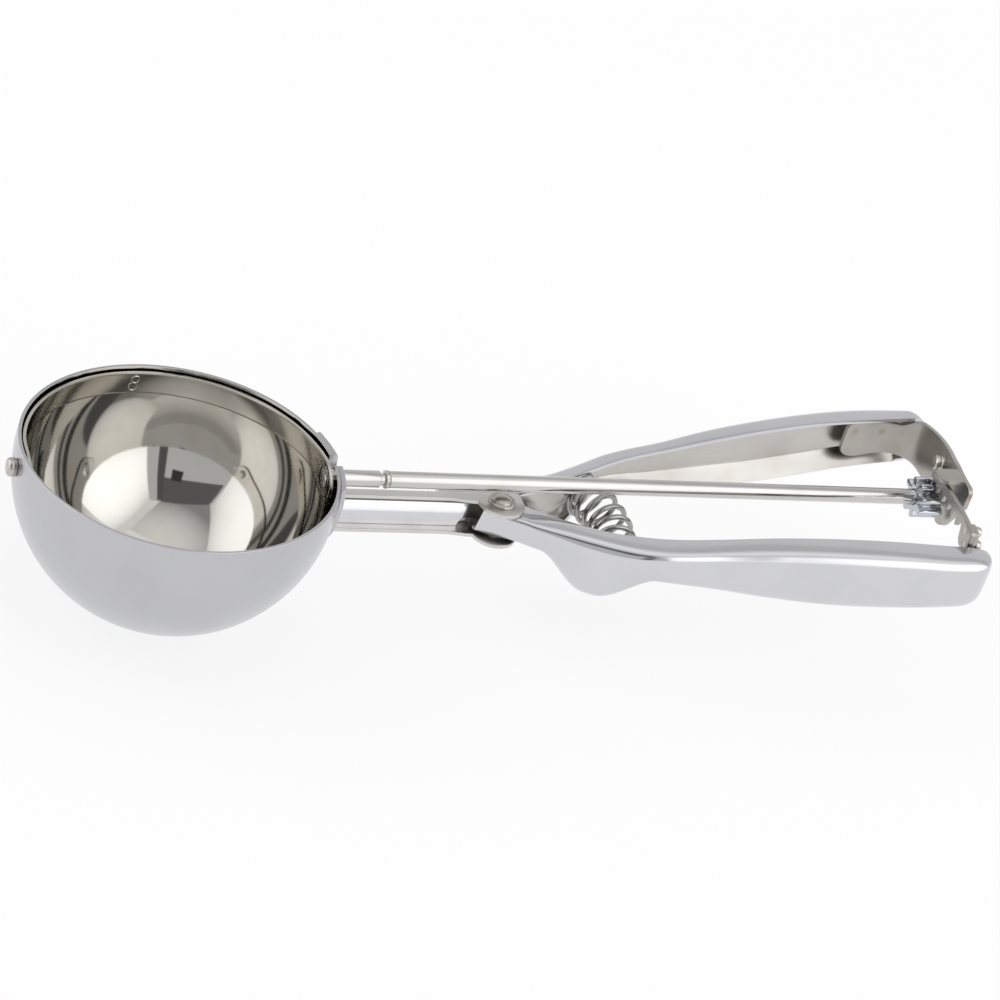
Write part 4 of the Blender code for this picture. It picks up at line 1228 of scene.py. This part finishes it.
@dataclass
class ReturnSpring:
    """The bowed coil spring between the handles and the studs that hold its ends."""

    at: float = 30.7
    z: float = -11.8
    climb: float = 0.02
    bow_r: float = 26.2
    coil_r: float = 4.95
    wire_r: float = 0.68
    turns: int = 8
    start_deg: float = 29.7
    near_deg: float = -40.0
    far_deg: float = 31.0
    stem: float = 2.3
    stem_r: float = 2.6
    boss_t: float = 2.2
    clear: float = 0.7

    def build(self) -> None:
        """Builds and dresses the spring and its two studs."""
        self._spring()
        self._stud("fixed_spring_seat", self.far_deg, 1.0, Body.FRAME)
        self._stud("lever_spring_seat", self.near_deg, -1.0, Body.LEVER)

    def _on_axis(self, bow: float) -> tuple[Vector, Vector]:
        """A point of the spring's bowed axis and the direction out of its bow.

        Args:
            bow: Angle along the bow in degrees.

        Returns:
            The point and the direction.
        """
        out = Vector((math.cos(math.radians(bow)), math.sin(math.radians(bow)), 0.0))
        middle = Vector((PIVOT.x + self.at - self.bow_r, 0.0, self.z + self.climb * bow))
        return middle + out * self.bow_r, out

    def _spring(self) -> None:
        """Winds the wire as a curve and makes it a mesh of its own."""
        per_turn = 48
        count = self.turns * per_turn
        points = []
        for step in range(count + 1):
            share = step / count
            middle, out = self._on_axis(self.near_deg + (self.far_deg - self.near_deg) * share)
            turn = math.radians(self.start_deg) - 2.0 * math.pi * self.turns * share
            up = Vector((0.0, 0.0, math.sin(turn)))
            points.append(middle + (out * math.cos(turn) + up) * self.coil_r)
        for bow, side, at in ((self.near_deg, -1.0, 0), (self.far_deg, 1.0, len(points) + 1)):
            _, out = self._on_axis(bow)
            way = Vector((-out.y, out.x, 0.0)) * (side * self.wire_r)
            points.insert(at, points[min(at, len(points) - 1)] + way)
        wire = bpy.data.curves.new("return_spring_fine", "CURVE")
        wire.dimensions = "3D"
        wire.bevel_depth = self.wire_r * MM
        wire.bevel_resolution = 4
        wire.use_fill_caps = True
        line = wire.splines.new("POLY")
        line.points.add(len(points) - 1)
        for knot, point in zip(line.points, points):
            knot.co = (*place(point), 1.0)
        spring = bpy.data.objects.new("return_spring_fine", wire)
        bpy.context.scene.collection.objects.link(spring)
        focus(spring)
        bpy.ops.object.convert(target="MESH")
        spring = bpy.context.object
        complete(spring, WIRE, Body.FRAME, Slot.WIRE, "return_spring")
        near, far = self._on_axis(self.near_deg)[0], self._on_axis(self.far_deg)[0]
        turned = math.radians(JOINTS["lever_squeeze"]["range_deg"][1])
        arm = near - PIVOT
        moved = Vector((
            arm.x * math.cos(turned) - arm.y * math.sin(turned) - arm.x,
            arm.x * math.sin(turned) + arm.y * math.cos(turned) - arm.y,
            0.0,
        ))
        way = moved.normalized()
        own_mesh(spring)

    def _stud(self, node: str, bow: float, side: float, body: Body) -> None:
        """Turns one stud: a boss inside the coil and a stem to the handle's wall.

        Args:
            node: The CAD node that it stands for.
            bow: Where its end of the spring lies on the bow, in degrees.
            side: 1 at the fixed handle, -1 at the lever.
            body: The body it rides on.
        """
        start, out = self._on_axis(bow)
        boss_r = self.coil_r - self.wire_r - 2.0 * GAP
        profile = (
            (-self.boss_t, boss_r - 1.0),
            (-self.boss_t + 0.2, boss_r - 0.4),
            (-self.boss_t + 0.6, boss_r),
            (0.0, boss_r),
            (0.4, self.stem_r),
            (self.stem, self.stem_r),
        )
        stud = lathe(node + "_fine", profile, start, Vector((-out.y, out.x, 0.0)) * side)
        complete(stud, TUMBLED, body, Slot.SATIN, node)


def bend_strip(name: str, path: Sequence[Station], levels: Sequence[Station], rows: int) -> Object:
    """Bends strip stock along a path in plan and gives it its thickness.

    Args:
        name: The piece's name.
        path: The (x, y) points of its middle.
        levels: Its bottom and top at each of them.
        rows: How many faces it is tall.

    Returns:
        The strip.
    """
    grid = []
    for (x, y), (low, high) in zip(path, levels):
        grid.append([(x, y, z) for z in spread(low, high, rows)])
    made = sheet(name, grid, (1, 0, 0))
    shape(made, "SOLIDIFY", thickness=STRIP_T * MM, offset=0.0, use_even_offset=True)
    return made


@dataclass
class GuideBracket:
    """The bent strip from the fixed handle round to the rod, with its rivet and its welds."""

    handles: Handles
    edge: float = 0.18
    corner: float = 2.6
    top_z: float = 2.2
    shoulder: float = 2.8
    shoulder_over: float = 4.4
    shoulder_lead: float = 0.6
    low_z: float = -8.9
    rise: float = 2.4
    rise_at: float = 17.0
    turn_in: float = 5.4
    turn_in_by: float = 1.6
    tab_z: float = 8.9
    tab_t: float = 1.0
    tab_reach: float = 2.9
    tab_near_y: float = -7.0
    tab_far_y: float = -1.5
    round_r: float = 7.0
    heel_z: float = 3.2
    heel_from: float = 0.8
    heel_slope: float = 1.7
    stub_y: float = 8.0
    stub_z: float = 4.8
    stub_r: float = 1.85
    stub_t: float = 2.6
    # Distance across from the rod, and distance short of the fixed handle's end.
    plan: tuple[Station, ...] = (
        (-10.8, 7.2), (-6.8, 6.9), (-3.0, 6.4), (3.0, 5.1), (10.0, 3.0), (19.0, 1.2), (25.5, 1.5),
    )

    def build(self) -> None:
        """Builds and dresses the bracket and its rivet."""
        self._bracket()
        self._stub()

    def _x(self, y: float) -> float:
        """Where the bracket stands across the handle ends."""
        return self.handles.fixed.end_x - on_curve(self.plan, y)[0]

    def _bracket(self) -> None:
        """Bends the strip, folds its tab over the rack and drills it."""
        fixed = self.handles.fixed
        end_x = fixed.end_x
        inside = [end_x - back for back in (STRIP_LAP, STRIP_LAP - STRIP_BEND, STRIP_LAP / 2.0)]
        marks = [(x, fixed.web_line(x)) for x in inside]
        corner_y = marks[-1][1]
        marks.append((end_x - self.turn_in, corner_y - self.turn_in_by))
        marks += [(self._x(y), y) for y, _ in reversed(self.plan)]
        path = curve_through(marks)
        run = list(accumulate(math.dist(a, b) for a, b in pairwise(path)))
        run.insert(0, 0.0)
        levels = []
        for along, (x, y) in zip(run, path):
            past = x - end_x + self.turn_in + self.shoulder_lead
            top = self.top_z + self.shoulder * smooth(0.0, self.shoulder_over, past)
            top += (self.tab_z + self.tab_t - top) * smooth(corner_y, self.tab_far_y, y)
            low = self.low_z + self.rise * smooth(end_x - self.rise_at, end_x - fixed.end_round, x)
            if y < 0.0:
                turned = max(y, -self.heel_from * self.round_r)
                low = -math.sqrt(self.round_r**2 - turned * turned)
                low = min(low + self.heel_slope * (turned - y), self.heel_z)
            off = self.corner * rounded(along / (1.5 * self.corner))
            off += STRIP_T * rounded((run[-1] - along) / (2.0 * STRIP_T))
            levels.append((low + off, top - off))
        bracket = bend_strip("guide_bracket_fine", path, levels, 16)
        combine(bracket, self._tab(), "UNION")
        bore(bracket, ROD_R + SNUG, (self._x(0.0), 0, 0), (1, 0, 0))
        soften(bracket, self.edge, over=55.0)
        complete(bracket, STRIP, Body.FRAME, Slot.STRIP, "guide_bracket")

    def _tab(self) -> Object:
        """Cuts the tab that folds over the rack, with a round end.

        Returns:
            The tab, to join to the bracket.
        """
        end_r = (self.tab_far_y - self.tab_near_y) / 2.0
        end_x = self.handles.rack_x - self.tab_reach + end_r
        high = self.tab_z + self.tab_t
        tab = block((end_x, self.tab_near_y, self.tab_z), (self._x(self.tab_near_y), self.tab_far_y, high))
        middle = (end_x, (self.tab_near_y + self.tab_far_y) / 2.0, self.tab_z)
        combine(tab, lathe("tab_end", ((0.0, end_r), (self.tab_t, end_r)), middle, (0, 0, 1)), "UNION")
        return tab

    def _stub(self) -> None:
        """Turns the double-ridged rivet on the bracket."""
        lean = self._x(self.stub_y - 1.0) - self._x(self.stub_y + 1.0)
        spot = (self._x(self.stub_y), self.stub_y, self.stub_z)
        half = STRIP_T / 2.0 + SNUG
        shank = self.stub_r - 0.75
        profile = (
            (-half - 0.75, 0.4),
            (-half - 0.65, self.stub_r - 0.9),
            (-half - 0.3, self.stub_r - 0.35),
            (-half, self.stub_r - 0.2),
            (-half, shank),
            (half, shank),
            (half, self.stub_r - 0.1),
            (half + 0.15, self.stub_r),
            (half + 0.8, self.stub_r),
            (half + 1.0, self.stub_r - 0.15),
            (half + 1.15, self.stub_r - 0.4),
            (half + 1.3, self.stub_r - 0.4),
            (half + 1.45, self.stub_r - 0.15),
            (half + 1.65, self.stub_r),
            (half + self.stub_t - 0.3, self.stub_r),
            (half + self.stub_t, self.stub_r - 0.3),
            (half + self.stub_t, 0.3),
        )
        stub = lathe("bracket_rivet_fine", profile, spot, (-2.0, -lean, 0.0), 40)
        complete(stub, TUMBLED, Body.FRAME, Slot.SATIN, "bracket_rivet", over=30.0)


@dataclass
class RackWork:
    """The toothed arc that turns the gear, with the strip and the rivets that hold it on the lever."""

    handles: Handles
    radius: float = 116.4
    top_z: float = 8.0
    lead: float = 2.6
    nip: float = 0.8
    edge: float = 0.14
    teeth: int = 6
    pitch_r: float = 4.2
    addendum: float = 1.05
    tip_gap: float = 0.4
    root_gap: float = 0.5
    end: float = -25.185
    heel: float = 3.0
    heel_z: float = 1.6
    leg_lap: float = 5.0
    leg_low_z: float = -3.0
    tab_top_z: float = 1.6
    tab_low_z: float = -6.5
    tab_bend: float = 8.5
    tab_bend_back: float = 2.4
    tab_corner: float = 2.4
    tab_edge: float = 0.18
    nub_r: float = 1.4
    nub_shank_r: float = 0.8
    nub_t: float = 1.6
    # Each rivet's node, its distance from the rack's end and below its top.
    nubs: tuple[tuple[str, float, float], ...] = (
        ("rack_rivet_upper", 3.7, 1.6),
        ("rack_rivet_lower", 1.3, 3.9),
    )

    def build(self) -> None:
        """Builds and dresses the rack, its strip and its rivets."""
        self._rack()
        self._tab()
        self._nubs()

    def _at(self, along: float, radius: float) -> Vector:
        """A point of the rack's arc about the pivot, level with the rod."""
        turn = along / self.radius
        return Vector((PIVOT.x + radius * math.cos(turn), PIVOT.y + radius * math.sin(turn), 0.0))

    def _outline(self) -> list[Station]:
        """The rack's stations along its arc: distance, lower edge and upper edge.

        Returns:
            The stations, from the gear's far side to the lever.
        """
        pitch = 2.0 * math.pi * self.pitch_r / GEAR_TEETH
        over_rod = -PIVOT.y
        tip = self.pitch_r - self.addendum + self.tip_gap
        root = self.pitch_r + self.addendum + self.root_gap
        square = self.lead - self.nip
        found = [(self.lead, root, self.top_z - self.nip), (square, root, self.top_z)]
        flank = [(0.75, root), (0.42, tip + 0.5), (0.25, tip)]
        flank += [(-past, z) for past, z in reversed(flank)]
        for tooth in range(self.teeth):
            middle = over_rod - pitch * tooth
            found += [(middle + past, z, self.top_z) for past, z in flank if middle + past < square]
        heel = over_rod - pitch * (self.teeth - 1) - self.heel
        found.append((heel, root, self.top_z))
        found.append((heel - 0.6, root - 1.2, self.top_z))
        found.append((heel - 1.3, self.heel_z + 0.9, self.top_z))
        found.append((heel - 2.6, self.heel_z, self.top_z))
        found.append((self.end + 0.6, self.heel_z, self.top_z))
        found.append((self.end, self.heel_z + 0.6, self.top_z - 0.6))
        return found

    def _rack(self) -> None:
        """Stamps the rack: a strip on the arc with teeth along its lower edge."""
        outline = self._outline()
        path = [self._at(along, self.radius)[:2] for along, _, _ in outline]
        levels = [(low, high) for _, low, high in outline]
        rack = bend_strip("toothed_rack_fine", path, levels, 6)
        soften(rack, self.edge, over=50.0)
        complete(rack, STRIP, Body.LEVER, Slot.STRIP, "toothed_rack")

    def _tab(self) -> None:
        """Bends the strip that carries the rack, from inside the lever up behind the rack."""
        leg_r = self.radius + STRIP_T + SNUG
        lever = self.handles.lever
        path, levels = [], []
        steps = 30
        for step in range(steps):
            along = self.end + self.leg_lap * (1.0 - 1.8 * step / steps)
            spot = self._at(along, leg_r)
            path.append((spot.x, spot.y))
            inside = smooth(self.end + 0.6, self.end + 0.1, along)
            low = self.leg_low_z + (self.tab_low_z - self.leg_low_z) * inside
            high = self.top_z - GAP + (self.tab_top_z + GAP - self.top_z + GAP) * inside
            levels.append((low, high))
        marks = [path[-1], (path[-1][0] - self.tab_bend_back, lever.web_line(lever.end_x - self.tab_bend))]
        for x in (lever.end_x - STRIP_LAP + STRIP_BEND, lever.end_x - STRIP_LAP):
            marks.append((x, lever.web_line(x)))
        bent = curve_through(marks)[1:]
        for back, (x, y) in enumerate(bent):
            nip = self.tab_corner * rounded((len(bent) - 1 - back) / 5.0)
            path.append((x, y))
            levels.append((self.tab_low_z + nip, self.tab_top_z - nip))
        tab = bend_strip("lever_rack_tab_fine", path, levels, 10)
        soften(tab, self.tab_edge, over=55.0)
        complete(tab, STRIP, Body.LEVER, Slot.STRIP, "lever_rack_tab")

    def _nubs(self) -> None:
        """Turns the two rivets through the rack and its strip."""
        for node, past, below in self.nubs:
            start = self._at(self.end + past, self.radius)
            start.z = self.top_z - below
            far = 1.5 * STRIP_T + 2.0 * SNUG
            end = far + self.nub_t
            profile = (
                (-STRIP_T / 2.0 - 0.12, 0.3),
                (-STRIP_T / 2.0 - 0.1, self.nub_shank_r),
                (far, self.nub_shank_r),
                (far, self.nub_r - 0.1),
                (far + 0.15, self.nub_r),
                (end - 0.7, self.nub_r),
                (end - 0.3, self.nub_r - 0.2),
                (end - 0.06, self.nub_r - 0.65),
                (end, 0.3),
            )
            nub = lathe(node + "_fine", profile, start, (start.x - PIVOT.x, start.y - PIVOT.y, 0.0), 36)
            complete(nub, TUMBLED, Body.LEVER, Slot.SATIN, node, over=30.0)


@dataclass(frozen=True)
class Card:
    """A flat panel of light round the scoop, brightest at one spot.

    Attributes:
        name: What it stands for.
        facing: Where it stands: degrees round from the camera, and degrees up.
        across: Its left and right edges, degrees from there.
        upright: Its lower and upper edges, degrees from there.
        away: Its distance in millimetres.
        light: Its strength at its brightest spot, where 1 is white.
        edge: Its strength where the light has fallen off.
        spot: That brightest spot, as shares of the panel.
        reach: How far from there the light falls off, as shares of the panel.
    """

    name: str
    facing: tuple[float, float]
    across: tuple[float, float]
    upright: tuple[float, float]
    away: float
    light: float
    edge: float
    spot: tuple[float, float] = (0.5, 0.5)
    reach: tuple[float, float] = (1.0, 1.0)


# What the steel mirrors: the room by the camera, a ceiling, two soft boxes and three dark shapes.
CARDS = (
    Card("room", (15.0, 0.0), (-58.0, 20.0), (0.0, 57.0), 1600.0, 0.62, 0.62),
    Card("ceiling", (0.0, 90.0), (-62.0, 62.0), (-62.0, 0.0), 3600.0, 0.98, 0.34, (0.5, 1.0), (0.2, 0.37)),
    Card("far_ceiling", (0.0, 90.0), (-62.0, 62.0), (0.0, 50.0), 3600.0, 1.1, 0.6, (0.5, 0.0), (1.0, 0.6)),
    Card("right_box", (75.0, 0.0), (-56.0, 31.0), (1.0, 68.5), 1400.0, 1.8, 0.95, (0.71, 0.3), (0.7, 0.5)),
    Card("left_box", (-90.0, 0.0), (-25.0, 56.0), (0.0, 60.0), 1500.0, 1.62, 0.9, (0.38, 0.3), (0.8, 0.75)),
    Card("doorway", (15.0, 0.0), (-49.0, 5.0), (38.7, 57.0), 1350.0, 0.14, 0.14),
    Card("stand", (22.0, 0.0), (-3.4, 3.4), (0.0, 56.0), 1340.0, 0.11, 0.11),
    Card("camera_body", (7.5, 0.0), (-5.0, 5.0), (32.0, 40.0), 1330.0, 0.05, 0.05),
)


@dataclass
class Studio:
    """The camera at the photograph's angle, a white floor and soft cards of light."""

    azimuth_deg: float = -27.58
    elevation_deg: float = 32.28
    roll_deg: float = -17.33
    across: float = 72.80
    up: float = -6.23
    away: float = 632.0
    focal_px: float = 2800.0
    image_px: float = 1000.0
    sensor: float = 36.0
    floor_r: float = 4.0
    floor_white: float = 0.8
    sky_light: float = 0.74
    cards: tuple[Card, ...] = CARDS

    def axes(self) -> Matrix:
        """The camera's right, up and back directions, as rows.

        Returns:
            A 3 x 3 matrix.
        """
        a, e, r = (math.radians(value) for value in (self.azimuth_deg, self.elevation_deg, self.roll_deg))
        back = Vector((math.sin(a) * math.cos(e), -math.cos(a) * math.cos(e), math.sin(e)))
        right = Vector((math.cos(a), math.sin(a), 0.0))
        up = back.cross(right)
        return Matrix((right * math.cos(r) - up * math.sin(r), up * math.cos(r) + right * math.sin(r), back))

    def build(self) -> None:
        """Sets up the view, the camera, the floor, the cards and the surrounding light."""
        scene = bpy.context.scene
        scene.view_settings.view_transform = "Standard"
        self._camera()
        self._floor()
        for card in self.cards:
            self._card(card)
        world = bpy.data.worlds.new("white_room")
        world.use_nodes = True
        sky = world.node_tree.nodes["Background"]
        sky.inputs["Color"].default_value = linear("#FFFFFF")
        sky.inputs["Strength"].default_value = self.sky_light
        scene.world = world

    def _camera(self) -> None:
        """Places the camera."""
        axes = self.axes()
        lens = bpy.data.cameras.new("photo_camera")
        lens.sensor_width = self.sensor
        lens.lens = self.sensor * self.focal_px / self.image_px
        lens.clip_start, lens.clip_end = 0.02, 50.0
        camera = bpy.data.objects.new("photo_camera", lens)
        spot = place(axes.transposed() @ Vector((self.across, self.up, self.away)))
        camera.matrix_world = Matrix.Translation(spot) @ axes.transposed().to_4x4()
        bpy.context.scene.collection.objects.link(camera)
        bpy.context.scene.camera = camera

    def _glow(self, card: Card) -> Material:
        """Makes a card's light, falling off from its brightest spot.

        Args:
            card: The card.

        Returns:
            The material.
        """
        made = bpy.data.materials.new(card.name + "_light")
        made.use_nodes = True
        tree = made.node_tree
        tree.nodes.remove(tree.nodes["Principled BSDF"])
        scale = (1.0 / card.reach[0], 1.0 / card.reach[1], 0.0)
        where = add_node(tree, "ShaderNodeTexCoord", {}).outputs["UV"]
        off = add_node(tree, "ShaderNodeVectorMath", {0: where, 1: (*card.spot, 0.0)}, operation="SUBTRACT")
        off = add_node(tree, "ShaderNodeVectorMath", {0: off.outputs[0], 1: scale}, operation="MULTIPLY")
        both = {0: off.outputs[0], 1: off.outputs[0]}
        far = add_node(tree, "ShaderNodeVectorMath", both, operation="DOT_PRODUCT")
        fall = {"Value": far.outputs["Value"], "To Min": card.light, "To Max": card.edge}
        strength = add_node(tree, "ShaderNodeMapRange", fall).outputs[0]
        glow = add_node(tree, "ShaderNodeEmission", {"Color": linear("#FFFFFF"), "Strength": strength})
        tree.links.new(glow.outputs[0], tree.nodes["Material Output"].inputs["Surface"])
        return made

    def _card(self, card: Card) -> None:
        """Hangs one card round the scoop, out of the camera's sight.

        Args:
            card: The card.
        """
        turn, rise = math.radians(self.azimuth_deg + card.facing[0]), math.radians(card.facing[1])
        front = Vector((math.sin(turn), -math.cos(turn), 0.0))
        side = Vector((math.cos(turn), math.sin(turn), 0.0))
        over = Vector((0.0, 0.0, 1.0))
        middle = front * math.cos(rise) + over * math.sin(rise)
        up = over * math.cos(rise) - front * math.sin(rise)
        left, right, low, high = (math.tan(math.radians(edge)) for edge in (*card.across, *card.upright))
        steps = 6
        heights = spread(low, high, steps)
        grid = []
        for off in spread(left, right, steps):
            along = middle + side * off
            grid.append([(along + up * height) * card.away for height in heights])
        made = sheet(card.name, grid, -self.axes()[2])
        made.data.materials.append(self._glow(card))
        made.visible_camera = False

    def _floor(self) -> None:
        """Lays the white floor, which shows whiter to the camera and in the steel but keeps the shadow."""
        bpy.ops.object.select_all(action="DESELECT")
        bpy.ops.mesh.primitive_circle_add(vertices=96, radius=self.floor_r, fill_type="NGON")
        floor = take("floor")
        made = bpy.data.materials.new("white matt floor")
        made.use_nodes = True
        tree = made.node_tree
        shader = tree.nodes["Principled BSDF"]
        shader.inputs["Base Color"].default_value = linear("#FDFDFD")
        shader.inputs["Roughness"].default_value = 0.9
        shader.inputs["Specular IOR Level"].default_value = 0.0
        ray = add_node(tree, "ShaderNodeLightPath", {}).outputs
        seen = ray["Is Camera Ray"]
        for other in ("Is Glossy Ray", "Is Transmission Ray"):
            seen = add_node(tree, "ShaderNodeMath", {0: seen, 1: ray[other]}, operation="ADD").outputs[0]
        share = add_node(tree, "ShaderNodeMath", {0: seen, 1: self.floor_white}, operation="MULTIPLY")
        white = add_node(tree, "ShaderNodeEmission", {"Color": linear("#FFFFFF"), "Strength": 1.0})
        mixed = {0: share.outputs[0], 1: shader.outputs[0], 2: white.outputs[0]}
        top = add_node(tree, "ShaderNodeMixShader", mixed)
        tree.links.new(top.outputs[0], tree.nodes["Material Output"].inputs["Surface"])
        floor.data.materials.append(made)


def main() -> None:
    """Builds the studio and every sub-assembly."""
    logging.basicConfig(level=logging.INFO, format="%(name)s: %(message)s")
    Studio().build()
    bowl = Bowl()
    neck = Neck(bowl)
    handles = Handles(neck)
    moving = (BladeDrive(bowl), ReturnSpring(), GuideBracket(handles), RackWork(handles))
    for assembly in (bowl, neck, handles, *moving):
        LOG.info("building %s", type(assembly).__name__)
        assembly.build()


if __name__ == "__main__":
    main()
